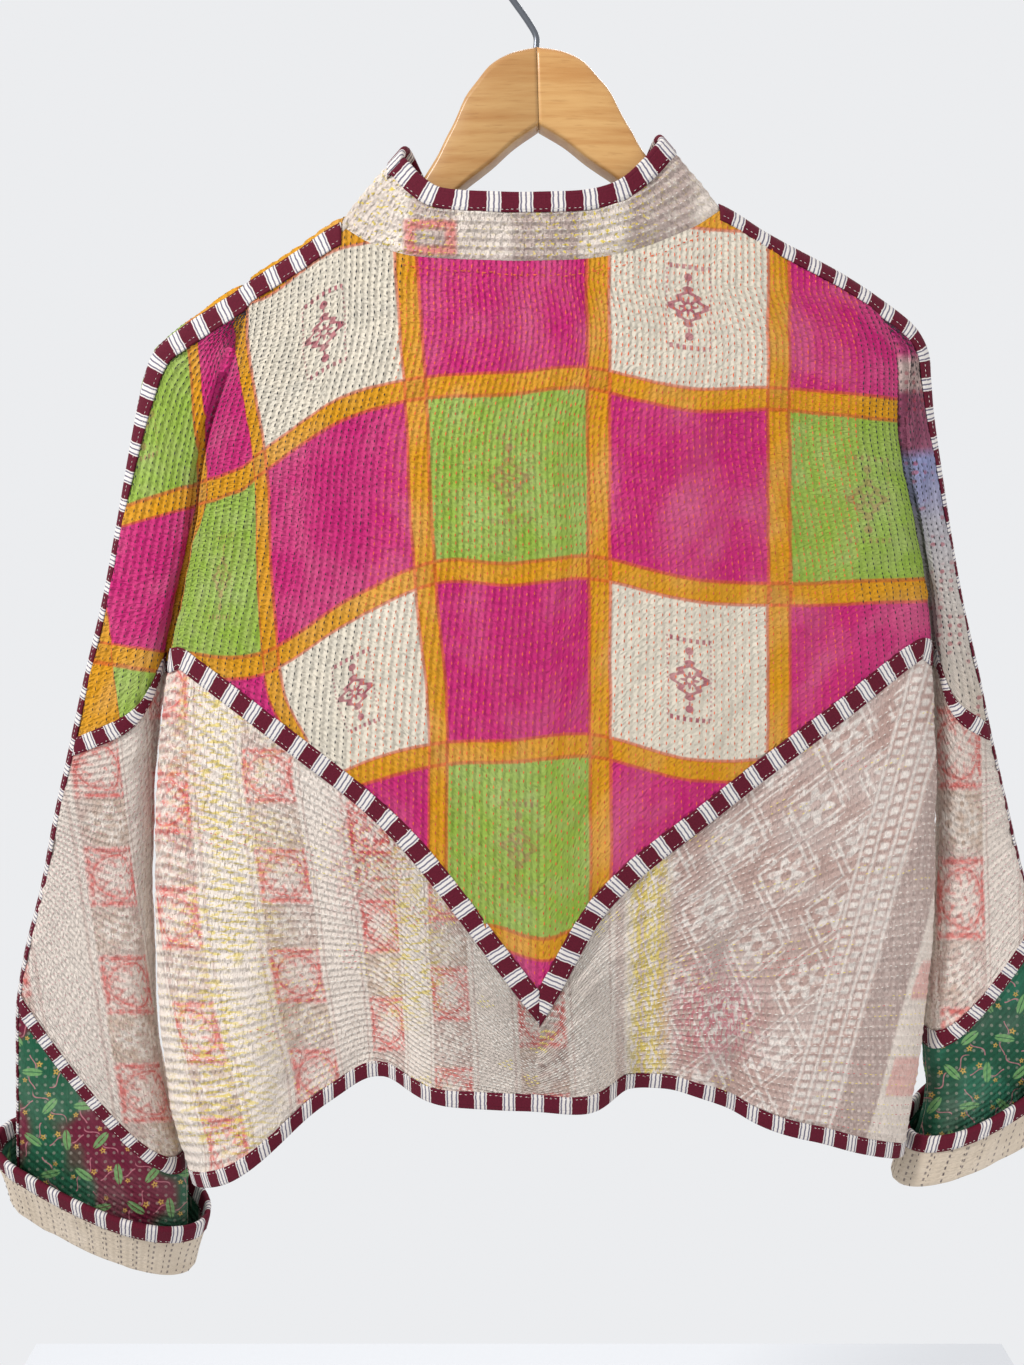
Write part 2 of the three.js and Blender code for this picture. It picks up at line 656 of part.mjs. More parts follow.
// Quilting ridges: every second row or column of a panel, away from its seams and edges.
function raise(grid, rows, columns, alongRows) {
  for (let row = rows[0]; row <= rows[1]; row += alongRows ? 2 : 1) {
    for (let column = columns[0]; column <= columns[1]; column += alongRows ? 1 : 2) {
      lifts[grid[row][column]] = QUILT_LIFT;
    }
  }
}
const BACK_COLUMNS = body.back[0].length;
raise(body.back, [3, zigzagRow("back") - 2], [4, BACK_COLUMNS - 5], false);
raise(body.back, [zigzagRow("back") + 2, body.back.length - 3], [2, BACK_COLUMNS - 3], true);
for (const name of ["left", "right"]) {
  const fronts = body[name][0].length;
  raise(body[name], [5, zigzagRow("front") - 2], [2, fronts - 4], false);
  raise(body[name], [zigzagRow("front") + 2, body[name].length - 3], [2, fronts - 4], true);
  for (const face of ["back", "front"]) {
    const last = sleeves[name][face][0].length - 2;
    raise(sleeves[name][face], [SLEEVE_ZIGZAG + 2, SLEEVE_SECOND - 2], [STRIP_ROW[face] + 1, last], true);
  }
}
raise(collar, [2, 2], [2, collar[0].length - 3], true);

// Triangles of the welded surface, and the normal of each point over all the pieces around it.
const triangles = [];
for (const { corners, piece } of quads) {
  const [a, b, c, d] = corners;
  const short = points[a].distanceTo(points[c]) <= points[b].distanceTo(points[d]);
  const halves = short ? [[a, b, c], [a, c, d]] : [[a, b, d], [b, c, d]];
  for (const ids of halves) {
    if (new Set(ids).size === 3) triangles.push({ ids, piece });
  }
}
const normals = points.map(() => new THREE.Vector3());
for (const { ids } of triangles) {
  const [a, b, c] = ids.map((id) => points[id]);
  const normal = new THREE.Triangle(a, b, c).getNormal(new THREE.Vector3());
  ids.forEach((id, i) => {
    const here = points[id];
    const next = points[ids[(i + 1) % 3]].clone().sub(here);
    const previous = points[ids[(i + 2) % 3]].clone().sub(here);
    normals[id].addScaledVector(normal, next.angleTo(previous));
  });
}
normals.forEach((normal) => normal.normalize());

// A closed solid from its corner points and triangles, faces out.
function solid(corners, faces) {
  let volume = 0;
  for (const [a, b, c] of faces) {
    volume += corners[a].dot(new THREE.Vector3().crossVectors(corners[b], corners[c]));
  }
  const geometry = new THREE.BufferGeometry();
  const numbers = corners.flatMap((corner) => corner.toArray());
  geometry.setAttribute("position", new THREE.Float32BufferAttribute(numbers, 3));
  geometry.setIndex((volume > 0 ? faces : faces.map(([a, b, c]) => [a, c, b])).flat());
  geometry.computeVertexNormals();
  return geometry;
}

// One piece of cloth: its part of the surface, drawn back from its seams and thickened.
function clothPiece(piece) {
  const own = triangles.filter((triangle) => triangle.piece === piece);
  const edgeKey = (a, b) => `${a} ${b}`;
  const ownEdges = new Set();
  const otherEdges = new Set();
  for (const { ids, piece: owner } of triangles) {
    const edges = owner === piece ? ownEdges : otherEdges;
    ids.forEach((id, i) => edges.add(edgeKey(id, ids[(i + 1) % 3])));
  }
  const rim = [];
  const pull = new Map();
  for (const { ids } of own) {
    ids.forEach((a, i) => {
      const b = ids[(i + 1) % 3];
      if (ownEdges.has(edgeKey(b, a))) return;
      rim.push([a, b]);
      if (!otherEdges.has(edgeKey(b, a))) return;
      const along = points[b].clone().sub(points[a]).normalize();
      const inward = points[ids[(i + 2) % 3]].clone().sub(points[a]);
      inward.addScaledVector(along, -inward.dot(along)).normalize();
      for (const id of [a, b]) pull.set(id, [...(pull.get(id) ?? []), inward]);
    });
  }
  const used = [...new Set(own.flatMap(({ ids }) => ids))];
  const place = new Map(used.map((id, i) => [id, i]));
  const drawn = used.map((id) => {
    const directions = pull.get(id) ?? [];
    const sum = directions.reduce((total, one) => total.add(one), new THREE.Vector3());
    const size = sum.length();
    if (size < 0.5) return points[id].clone();
    const reach = (SEAM_GAP / 2) * Math.min(directions.length / size, 2);
    return points[id].clone().addScaledVector(sum, reach / size);
  });
  const outer = used.map((id, i) => drawn[i].clone().addScaledVector(normals[id], WALL / 2 + lifts[id]));
  const inner = used.map((id, i) => drawn[i].clone().addScaledVector(normals[id], -WALL / 2));
  const count = used.length;
  const faces = [];
  for (const { ids } of own) {
    const [a, b, c] = ids.map((id) => place.get(id));
    faces.push([a, b, c], [a + count, c + count, b + count]);
  }
  for (const [from, to] of rim) {
    const a = place.get(from);
    const b = place.get(to);
    // the pieces on both sides of a seam split its rim along the same diagonal
    if (from < to) faces.push([b, a, b + count], [a, a + count, b + count]);
    else faces.push([b, a, a + count], [b, a + count, b + count]);
  }
  return solid([...outer, ...inner], faces);
}

// A closed slab between two grids of points, [station][place across], or a ring of stations.
function slab(outer, inner, ring = false) {
  const width = outer[0].length;
  const corners = [...outer.flat(), ...inner.flat()];
  const half = outer.length * width;
  const faces = [];
  const apart = (a, b) => corners[a % half].distanceTo(corners[b % half]);
  const quad = (a, b, c, d) => {
    if (apart(a, c) <= apart(b, d)) faces.push([a, b, c], [a, c, d]);
    else faces.push([a, b, d], [b, c, d]);
  };
  const stations = ring ? outer.length : outer.length - 1;
  for (let row = 0; row < stations; row += 1) {
    const here = row * width;
    const next = ((row + 1) % outer.length) * width;
    for (let k = 0; k + 1 < width; k += 1) {
      quad(here + k, here + k + 1, next + k + 1, next + k);
      quad(half + here + k, half + next + k, half + next + k + 1, half + here + k + 1);
    }
    quad(here, next, half + next, half + here);
    const side = width - 1;
    quad(here + side, half + here + side, half + next + side, next + side);
  }
  if (!ring) {
    const last = (outer.length - 1) * width;
    for (let k = 0; k + 1 < width; k += 1) {
      quad(k, half + k, half + k + 1, k + 1);
      quad(last + k, last + k + 1, half + last + k + 1, half + last + k);
    }
  }
  return solid(corners, faces);
}

// Shortens a run of stations at its two ends.
function shorten(stations, startGap, endGap) {
  const pullBack = (from, towards, gap) =>
    from.map((point, k) => point.clone().add(towards[k].clone().sub(point).setLength(gap)));
  const first = pullBack(stations[0], stations[1], startGap);
  const last = pullBack(stations.at(-1), stations.at(-2), endGap);
  return [first, ...stations.slice(1, -1), last];
}

const STRIP_INSIDE = WALL / 2 + STRIP_CLEARANCE;
const STRIP_OUTSIDE = STRIP_INSIDE + STRIP_WALL;

// A strip over a seam, made from the points of the panels below it, moved out.
function seamStrip(stations, startGap = STRIP_END_GAP, endGap = STRIP_END_GAP) {
  const moved = (offset) =>
    stations.map((ids) => ids.map((id) => points[id].clone().addScaledVector(normals[id], offset)));
  return slab(
    shorten(moved(STRIP_OUTSIDE), startGap, endGap),
    shorten(moved(STRIP_INSIDE), startGap, endGap)
  );
}

// A binding folded over an edge: stations are [point a binding's width in, point of the edge].
function edgeBinding(stations, ring = false, gap = STRIP_END_GAP) {
  const profile = (offset, beyond) =>
    stations.map(([inId, edgeId]) => {
      const out = points[edgeId].clone().sub(points[inId]).setLength(beyond);
      const at = (id, side) => points[id].clone().addScaledVector(normals[id], side * offset);
      return [at(inId, 1), at(edgeId, 1).add(out), at(edgeId, -1).add(out), at(inId, -1)];
    });
  const outside = profile(STRIP_OUTSIDE, STRIP_CLEARANCE + STRIP_WALL);
  const inside = profile(STRIP_INSIDE, STRIP_CLEARANCE);
  if (ring) return slab(outside, inside, true);
  return slab(shorten(outside, gap, gap), shorten(inside, gap, gap));
}

// Colours and finish of each material
const MATERIALS = {
  check: { color: 0xc22f7f, roughness: 0.9 },
  greyPatch: { color: 0x9aa0ac, roughness: 0.9 },
  cream: { color: 0xd9ccc0, roughness: 0.92 },
  roseBeige: { color: 0xcbb2ab, roughness: 0.92 },
  green: { color: 0x14523a, roughness: 0.85 },
  maroon: { color: 0x5f1530, roughness: 0.85 },
  stripe: { color: 0x6d1230, roughness: 0.8 },
  wood: { color: 0xd9953f, roughness: 0.45 },
  wire: { color: 0x3d4348, roughness: 0.35, metalness: 0.9 },
};
const jacket = new THREE.Group();
function addMesh(name, geometry, material, parent = jacket) {
  const mesh = new THREE.Mesh(geometry, new THREE.MeshStandardMaterial(MATERIALS[material]));
  mesh.name = name;
  parent.add(mesh);
}

// Cloth pieces
addMesh("back_yoke", clothPiece("back_yoke"), "check");
addMesh("back_lower", clothPiece("back_lower"), "cream");
addMesh("collar", clothPiece("collar"), "cream");
addMesh("front_yoke_left", clothPiece("front_yoke_left"), "check");
addMesh("front_yoke_right", clothPiece("front_yoke_right"), "greyPatch");
for (const name of ["left", "right"]) {
  addMesh(`front_lower_${name}`, clothPiece(`front_lower_${name}`), "roseBeige");
  for (const face of ["back", "front"]) {
    addMesh(`sleeve_middle_${face}_${name}`, clothPiece(`sleeve_middle_${face}_${name}`), "roseBeige");
    const end = name === "left" ? "maroon" : "green";
    addMesh(`sleeve_end_${face}_${name}`, clothPiece(`sleeve_end_${face}_${name}`), end);
  }
}

// Striped strips over the seams, and edge bindings
const column = (grid, index) => grid.map((row) => row[index]);
function rowsAround(grid, row) {
  return grid[row].map((_, index) => [grid[row - 1][index], grid[row][index], grid[row + 1][index]]);
}
const BACK_ZIGZAG = zigzagRow("back");
const FRONT_ZIGZAG = zigzagRow("front");
addMesh("back_zigzag_strip", seamStrip(rowsAround(body.back, BACK_ZIGZAG)), "stripe");

for (const name of ["left", "right"]) {
  const { back, front } = sleeves[name];
  const shoulder = SHOULDER_COLUMNS[name].map((_, index) => {
    const backIndex = name === "left" ? index : BACK_COLUMNS - 1 - index;
    return [body[name][1][index], body[name][0][index], body.back[1][backIndex]];
  });
  const cuffStart = SLEEVE_SECOND + END_ROWS + 2;
  const overarm = back.slice(0, cuffStart).map((line, row) => [front[row][1], line[0], line[1]]);
  addMesh(`overarm_strip_${name}`, seamStrip([...shoulder.reverse(), ...overarm], OVERARM_NECK_GAP), "stripe");

  const frontStations = rowsAround(body[name], FRONT_ZIGZAG).slice(0, -1);
  addMesh(`front_zigzag_strip_${name}`, seamStrip(frontStations), "stripe");
  for (const face of ["back", "front"]) {
    const stations = rowsAround(sleeves[name][face], SLEEVE_ZIGZAG).slice(1);
    addMesh(`sleeve_zigzag_strip_${face}_${name}`, seamStrip(stations), "stripe");
  }
  const secondBack = rowsAround(back, SLEEVE_SECOND).slice(1);
  const secondFront = rowsAround(front, SLEEVE_SECOND).slice(1, -1).reverse();
  addMesh(`sleeve_second_strip_${name}`, seamStrip([...secondBack, ...secondFront]), "stripe");

  const rimBack = back.at(-1).map((id, index) => [back.at(-2)[index], id]);
  const rimFront = front.at(-1).map((id, index) => [front.at(-2)[index], id]);
  const rim = [...rimBack, ...rimFront.slice(1, -1).reverse()];
  addMesh(`cuff_binding_${name}`, edgeBinding(rim, true), "stripe");

  const edge = column(body[name], body[name][0].length - 1);
  const bound = column(body[name], body[name][0].length - 2);
  const collarEdge = name === "left" ? [0, 1] : [collar[0].length - 1, collar[0].length - 2];
  const frontEdge = edge.map((id, row) => [bound[row], id]).reverse();
  const collarEnd = collar.slice(1).map((row) => [row[collarEdge[1]], row[collarEdge[0]]]);
  addMesh(`front_edge_binding_${name}`, edgeBinding([...frontEdge, ...collarEnd]), "stripe");
}

const hemStations = (grid) => grid.at(-1).map((id, index) => [grid.at(-2)[index], id]);
addMesh(
  "hem_binding",
  edgeBinding([
    ...hemStations(body.left).slice(1, -1).reverse(),
    ...hemStations(body.back),
    ...hemStations(body.right).slice(1, -1),
  ]),
  "stripe"
);
const collarTop = collar.at(-1).map((id, index) => [collar.at(-2)[index], id]).slice(1, -1);
addMesh("collar_binding", edgeBinding(collarTop), "stripe");

// Hanger: each arm is a run of sections from the middle to its tip.
const ARM_SECTIONS = [
  { x: 0.15, top: -75, bottom: -122 },
  { x: 17, top: -78, bottom: -132 },
  { x: 30, top: -84, bottom: -142 },
  { x: 39, top: -93, bottom: -148 },
  { x: 47, top: -102, bottom: -153 },
  { x: 54, top: -115, bottom: -158 },
  { x: 61, top: -126, bottom: -163 },
  { x: 67, top: -136, bottom: -167 },
  { x: 85, top: -158, bottom: -178 },
  { x: 110, top: -177, bottom: -195 },
  { x: 140, top: -191, bottom: -210 },
  { x: 175, top: -203.6, bottom: -229 },
  { x: 190, top: -209.8, bottom: -238 },
  { x: 200, top: -214.6, bottom: -245 },
  { x: 209, top: -220.5, bottom: -246 },
  { x: 214, top: -227, bottom: -240 },
];
const ARM_ROUND = 6; // rounding of the arm's long edges
const ARM_CHAMFER = 1.5; // how far the middle of that rounding lies in from the arm's side

function hangerArm(sign) {
  const half = HANGER_THICKNESS / 2;
  const sections = ARM_SECTIONS.map(({ x, top, bottom }) => {
    const round = Math.min(ARM_ROUND, (top - bottom) / 3);
    const outline = [
      { y: -half + ARM_ROUND, z: top },
      { y: half - ARM_ROUND, z: top },
      { y: half - ARM_CHAMFER, z: top - round / 2 },
      { y: half, z: top - round },
      { y: half, z: bottom + round / 2 },
      { y: half - ARM_ROUND / 2, z: bottom },
      { y: -half + ARM_ROUND / 2, z: bottom },
      { y: -half, z: bottom + round / 2 },
      { y: -half, z: top - round },
      { y: -half + ARM_CHAMFER, z: top - round / 2 },
    ];
    return outline.map(({ y, z }) => new THREE.Vector3(sign * x, middleY(x) + y, z));
  });
  const sides = sections[0].length;
  const faces = [];
  for (let i = 0; i + 1 < sections.length; i += 1) {
    for (let k = 0; k < sides; k += 1) {
      const a = i * sides + k;
      const b = i * sides + ((k + 1) % sides);
      faces.push([a, b, b + sides], [a, b + sides, a + sides]);
    }
  }
  const last = (sections.length - 1) * sides;
  for (let k = 1; k + 1 < sides; k += 1) {
    faces.push([0, k + 1, k], [last, last + k, last + k + 1]);
  }
  return solid(sections.flat(), faces);
}
const hanger = new THREE.Group();
hanger.rotation.y = HANGER_TILT;
addMesh("hanger_arm_left", hangerArm(-1), "wood", hanger);
addMesh("hanger_arm_right", hangerArm(1), "wood", hanger);
jacket.add(hanger);

// The wire hook rises from the wood and bends over, open to the right.
function hook() {
  const apexX = Math.sin(-HANGER_TILT) * -HANGER_APEX;
  const centreZ = WIRE / 2 - HOOK_RADIUS;
  const y = middleY(0);
  const route = [
    new THREE.Vector3(apexX, y, HANGER_APEX + SEAM_GAP),
    new THREE.Vector3(apexX, y, HANGER_APEX + 8),
    new THREE.Vector3(-2, y, -59),
  ];
  for (let degrees = 215; degrees >= -35; degrees -= 25) {
    const angle = THREE.MathUtils.degToRad(degrees);
    const x = HOOK_RADIUS * Math.cos(angle);
    route.push(new THREE.Vector3(x, y, centreZ + HOOK_RADIUS * Math.sin(angle)));
  }
  const circle = new THREE.Shape().absarc(0, 0, WIRE / 2, 0, 2 * Math.PI);
  return new THREE.ExtrudeGeometry(circle, {
    steps: 34,
    curveSegments: 4,
    extrudePath: new THREE.CatmullRomCurve3(route),
  });
}
addMesh("hanger_hook", hook(), "wire");

export default jacket;
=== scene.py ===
# Kantha jacket on a contoured wooden hanger: its cloth, stitching and hanger, piece by piece.
import math
from functools import partial
import bmesh
import bpy
import numpy as np
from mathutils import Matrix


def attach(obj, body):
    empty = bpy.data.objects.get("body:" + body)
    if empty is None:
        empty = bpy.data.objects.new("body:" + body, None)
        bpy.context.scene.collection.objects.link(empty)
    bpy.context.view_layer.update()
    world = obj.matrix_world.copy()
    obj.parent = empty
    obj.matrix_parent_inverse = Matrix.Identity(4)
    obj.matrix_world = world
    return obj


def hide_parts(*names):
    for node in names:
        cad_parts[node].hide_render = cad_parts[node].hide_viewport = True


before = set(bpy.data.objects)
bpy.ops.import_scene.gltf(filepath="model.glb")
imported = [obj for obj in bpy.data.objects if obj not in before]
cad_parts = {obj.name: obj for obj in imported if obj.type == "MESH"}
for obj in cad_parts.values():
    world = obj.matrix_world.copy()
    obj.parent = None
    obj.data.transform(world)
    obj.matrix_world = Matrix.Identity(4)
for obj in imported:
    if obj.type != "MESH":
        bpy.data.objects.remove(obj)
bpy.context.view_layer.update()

# The hang of the cloth. The jacket is cut flat from two layers of cotton sewn together with rows
# of running stitch. It hangs over the two arms of a hanger, so every piece is cut from one form:
# rounded over the arms, straight below them, and folded in between the body and each sleeve.
MM = 0.001
WALL = 2.4
STRIP_HALF = 7.5
WEB = 8
WEB_HALF_DEPTH = 1.6
FRONT_GAP = 24
EDGE_BINDING = 12
SHOULDER_ROLL = 13
ROLL_ANGLE = math.radians(80)
ROLL_ARC = SHOULDER_ROLL * ROLL_ANGLE
ROLL_DROP = SHOULDER_ROLL * (1 - math.cos(ROLL_ANGLE))
ROLL_REACH = SHOULDER_ROLL * math.sin(ROLL_ANGLE)
FULLNESS = {"back": 34, "front": 38}
FULLNESS_LENGTH = 160
BODY_ROUNDNESS = 3.5
SLEEVE_ROUNDNESS = 2.4
OUTWARD = {"back": -1, "front": 1}
RIDGE = [(-215, -222.5), (-196, -211), (-160, -192), (-127, -174), (-60, -155), (0, -150), (60, -152),
         (125, -166), (160, -183), (200, -200.5), (215, -207.5), (240, -221)]
NECK = {"left": -126, "right": 125}
BACK_NECK = [(-126, -181), (-105, -194), (-73, -204), (5, -208), (57, -203), (105, -184), (125, -171)]
FRONT_NECK_ARC = 93
ZIGZAG_TIP = -0.018
ZIGZAG = [(-1, -478), (-0.95, -473), (-0.52, -551), (-0.31, -602), (ZIGZAG_TIP, -715),
          (0.121, -639), (0.36, -580), (0.72, -508), (0.95, -466), (1, -473)]
HEM = [(-1, -900), (-0.82, -872), (-0.54, -815), (-0.43, -797), (-0.05, -794), (0.12, -799),
       (0.26, -797), (0.39, -799), (0.55, -824), (0.75, -843), (1, -876)]
# each fold: where it starts (x, z), its x at the hem, its depth, and its width left and right
FOLDS = {
    "back": [(-140, -480, -110, 38, 72, 30), (45, -610, 88, 32, 22, 52), (150, -640, 158, 7, 14, 20),
             (-225, -600, -232, -12, 40, 40), (240, -600, 246, -8, 40, 40)],
    "front": [(-150, -470, -160, 20, 45, 40), (120, -480, 150, 18, 40, 45)],
}
FOLD_HEM = -860


def gaps(points, axis=0):
    """Lengths between neighbouring points of a line or a grid, along one axis."""
    return np.linalg.norm(np.diff(points, axis=axis), axis=-1)


def summed(steps, axis=0):
    """Running total of steps along one axis, from 0."""
    return np.concatenate([np.zeros_like(np.take(steps, [0], axis)), np.cumsum(steps, axis=axis)], axis=axis)


def cubic(start, end, leave, arrive, u):
    """From start to end as u goes from 0 to 1, with the slopes leave and arrive at its two ends."""
    return (start * (1 + 2 * u) * (1 - u) ** 2 + leave * u * (1 - u) ** 2
            + end * u * u * (3 - 2 * u) + arrive * u * u * (u - 1))


def chord_slopes(places, values):
    """Slope at each row: that of the chord between its neighbours."""
    n = np.arange(len(places))
    before, after = np.maximum(n - 1, 0), np.minimum(n + 1, len(n) - 1)
    spans = (places[after] - places[before]).reshape(-1, *[1] * (values.ndim - 1))
    return (values[after] - values[before]) / spans


def curve(rows):
    """Smooth curve through rows of (place, value): a cubic between each two rows, sloped like the
    chord of its neighbours, and straight beyond the ends."""
    places, values = np.array(sorted((row[0], row[1]) for row in rows), float).T
    slopes = chord_slopes(places, values)

    def at(place):
        place = np.asarray(place, float)
        i = np.clip(np.searchsorted(places, place, side="right") - 1, 0, len(places) - 2)
        span = places[i + 1] - places[i]
        u = np.clip((place - places[i]) / span, 0, 1)
        ends = slopes[0] * np.minimum(place - places[0], 0) + slopes[-1] * np.maximum(place - places[-1], 0)
        return cubic(values[i], values[i + 1], slopes[i] * span, slopes[i + 1] * span, u) + ends

    return at


def smooth(x):
    """Smoothstep: 0 up to 0, 1 from 1, and 3x² - 2x³ between."""
    x = np.clip(x, 0, 1)
    return x * x * (3 - 2 * x)


ridge_z = curve(RIDGE)
back_neck_z = curve(BACK_NECK)
hem_z = curve(HEM)
zigzag_left = curve([row for row in ZIGZAG if row[0] <= ZIGZAG_TIP])
zigzag_right = curve([row for row in ZIGZAG if row[0] >= ZIGZAG_TIP])


def zigzag_z(across):
    """Height of the zigzag seam at each place across the body."""
    return np.where(across < ZIGZAG_TIP, zigzag_left(across), zigzag_right(across))


# The two sides: the valley between body and sleeve as (z, x), the outer fold of the sleeve and
# its inner edge as (x, z), and where along them the seams and the cuff lie.
SIDES = {
    "left": dict(
        sign=-1,
        fold=[(-211, -196), (-251, -203), (-322, -229), (-395, -246), (-470, -268), (-560, -283),
              (-700, -292), (-830, -290), (-900, -275)],
        overarm=[(-200, -213.5), (-241, -238), (-265, -258), (-277, -291), (-295, -360), (-310, -420),
                 (-327, -475), (-346, -540), (-366, -609), (-381, -666), (-396, -712), (-405, -750),
                 (-413, -837), (-420, -925), (-421, -935)],
        over_marks=(7, 11, 13),
        inner=[(-273, -478), (-281, -515), (-294, -620), (-299, -735), (-297, -830), (-284, -893),
               (-284, -940), (-286, -985), (-286, -995)],
        inner_marks=(0, 5, 7),
        seam=(20, 6, 3), flare=19, neck=NECK["left"]),
    "right": dict(
        sign=1,
        fold=[(-221, 240), (-257, 256), (-319, 261), (-402, 286), (-470, 300), (-560, 309),
              (-662, 316), (-770, 314), (-876, 306)],
        overarm=[(244, -223.5), (263, -236), (278, -254), (285, -293), (300, -360), (316, -425),
                 (335, -488), (347, -530), (356, -560), (376, -625), (396, -690), (412, -760),
                 (424, -850), (425, -860)],
        over_marks=(7, 10, 12),
        inner=[(305, -473), (311, -530), (320, -640), (320, -720), (320, -782), (326, -850),
               (309, -905), (306, -914)],
        inner_marks=(0, 4, 6),
        seam=(12, 3, 3), flare=15, neck=NECK["right"]),
}
CUFF_TURN = 48
CUFF_FOLD = 3.5
ZIGZAG_SAG = 36


def path_of(rows):
    """A path through (x, z) rows, as x and z over the length run along it."""
    rows = np.array(rows, float)
    run = summed(gaps(rows))
    return run, curve(np.column_stack([run, rows[:, 0]])), curve(np.column_stack([run, rows[:, 1]]))


for side in SIDES.values():
    side["fold_x"] = curve(side["fold"])
    side["over"] = path_of(side["overarm"])
    side["under"] = path_of(side["inner"])
    side["shoulder_z"] = side["fold"][0][0]
    side["underarm_z"] = side["inner"][0][1]
LEFT, RIGHT = SIDES["left"], SIDES["right"]


def middle_y(x):
    """Middle plane between back and front: it curves forward like the hanger's arms."""
    return 36 * (1 - np.exp(-((x / 170) ** 2)))


def drop_at(arc):
    """Height lost at an arc from the ridge: round over the arm, then straight down."""
    return np.where(arc < ROLL_ARC, SHOULDER_ROLL * (1 - np.cos(np.minimum(arc, ROLL_ARC) / SHOULDER_ROLL)),
                    ROLL_DROP + arc - ROLL_ARC)


def reach_at(arc, face):
    """Depth from the middle plane at an arc: round over the arm, then swinging out to its fullness."""
    hanging = ROLL_REACH + FULLNESS[face] * (1 - np.exp(-np.maximum(arc - ROLL_ARC, 0) / FULLNESS_LENGTH))
    rolled = SHOULDER_ROLL * np.sin(np.minimum(arc, ROLL_ARC) / SHOULDER_ROLL)
    return np.where(arc < ROLL_ARC, rolled, hanging)


def arc_at_drop(drop):
    """The arc from the ridge at which a given height is lost."""
    rolled = SHOULDER_ROLL * np.arccos(1 - np.clip(drop, 0, ROLL_DROP) / SHOULDER_ROLL)
    return np.where(drop < ROLL_DROP, rolled, ROLL_ARC + drop - ROLL_DROP)


def roundness(u, exponent):
    """Depth of a superellipse: 1 in the middle and 0 at u of -1 and 1."""
    return np.maximum(1 - np.abs(u) ** exponent, 0) ** (1 / exponent)


def openness(shoulder_z, underarm_z, z):
    """1 at the shoulder and 0 at the underarm: how much depth is left in the side fold."""
    return 1 - smooth((shoulder_z - z) / (shoulder_z - underarm_z))


def fold_depth(face, x, z):
    """Sum of valleys: each grows towards the hem and falls off like a bell to both sides."""
    depth = 0
    for top_x, top_z, hem_x, deep, left, right in FOLDS[face]:
        grown = np.clip((top_z - z) / (top_z - FOLD_HEM), 0, 1)
        centre = top_x + (hem_x - top_x) * grown
        width = np.where(x < centre, left, right)
        depth = depth + deep * smooth(grown) * np.exp(-(((x - centre) / width) ** 2))
    return depth


def body_x(across, z):
    """From a place across the body, -1 at its left side and 1 at its right, to x."""
    left = LEFT["fold_x"](np.minimum(z, LEFT["shoulder_z"])) + WEB / 2
    right = RIGHT["fold_x"](np.minimum(z, RIGHT["shoulder_z"])) - WEB / 2
    return (left + right) / 2 + (right - left) / 2 * across


def across_at(x, z):
    """From x back to the place across the body."""
    left, right = body_x(-1, z), body_x(1, z)
    return (2 * x - left - right) / (right - left)


def body_point(face, x, z):
    """A point of the body's back or front wall, at a place seen from the front."""
    across = np.clip(across_at(x, z), -1, 1)
    shoulder_z = np.where(across < 0, LEFT["shoulder_z"], RIGHT["shoulder_z"])
    underarm_z = np.where(across < 0, LEFT["underarm_z"], RIGHT["underarm_z"])
    opened = openness(shoulder_z, underarm_z, z)
    full = reach_at(arc_at_drop(ridge_z(x) - z), face)
    depth = full * (opened + (1 - opened) * roundness(across, BODY_ROUNDNESS))
    depth = np.where(z > underarm_z - 0.01, np.maximum(depth, WEB_HALF_DEPTH), depth)
    depth = depth - fold_depth(face, x, z) * (1 - np.abs(across) ** 8)
    return np.stack(np.broadcast_arrays(x, middle_y(x) + OUTWARD[face] * depth, z), -1)


def ridge_point(face, x, arc):
    """A point at an arc from the shoulder's ridge, over the arm and down one face."""
    y = middle_y(x) + np.sign(arc) * OUTWARD[face] * reach_at(np.abs(arc), face)
    return np.stack(np.broadcast_arrays(x, y, ridge_z(x) - drop_at(np.abs(arc))), -1)


def facing(points):
    """Unit normals of a grid, out of the jacket's middle plane."""
    normals = np.cross(np.gradient(points, axis=1), np.gradient(points, axis=0))
    normals /= np.maximum(np.linalg.norm(normals, axis=-1, keepdims=True), 1e-9)
    out = points[..., 1] - middle_y(points[..., 0])
    return normals * np.sign((normals[..., 1] * out).sum())


def lerp(a, b, u):
    """Straight blend from a to b."""
    return a + (b - a) * u


def even_columns(half_width, depth, spacing):
    """Places from -1 to 1 that are evenly spaced along the body's rounded section."""
    dense = np.sin(np.linspace(-np.pi / 2, np.pi / 2, 4001))
    bulge = np.gradient(roundness(dense, BODY_ROUNDNESS)) * depth
    run = np.cumsum(np.hypot(np.gradient(dense) * half_width, bulge))
    count = int((run[-1] - run[0]) / spacing)
    places = np.interp(np.linspace(run[0], run[-1], count), run, dense)
    places[0], places[-1] = -1, 1
    return places


NECK_SEAM_Z = -200


def back_wall(across, upper, lower):
    """The back from the shoulder and neck seams to the zigzag seam, then on to the hem."""
    x = body_x(across, NECK_SEAM_Z)
    left_top = ridge_z(x) - drop_at(LEFT["seam"][0])
    right_top = ridge_z(x) - drop_at(RIGHT["seam"][0])
    top = np.where(x < NECK["left"], left_top, np.where(x > NECK["right"], right_top, back_neck_z(x)))
    seam = zigzag_z(across)
    z = np.vstack([lerp(top, seam, u) for u in np.linspace(0, 1, upper)]
                  + [lerp(seam, hem_z(across), u) for u in np.linspace(0, 1, lower)[1:]])
    return body_point("back", body_x(across[None, :], z), z)


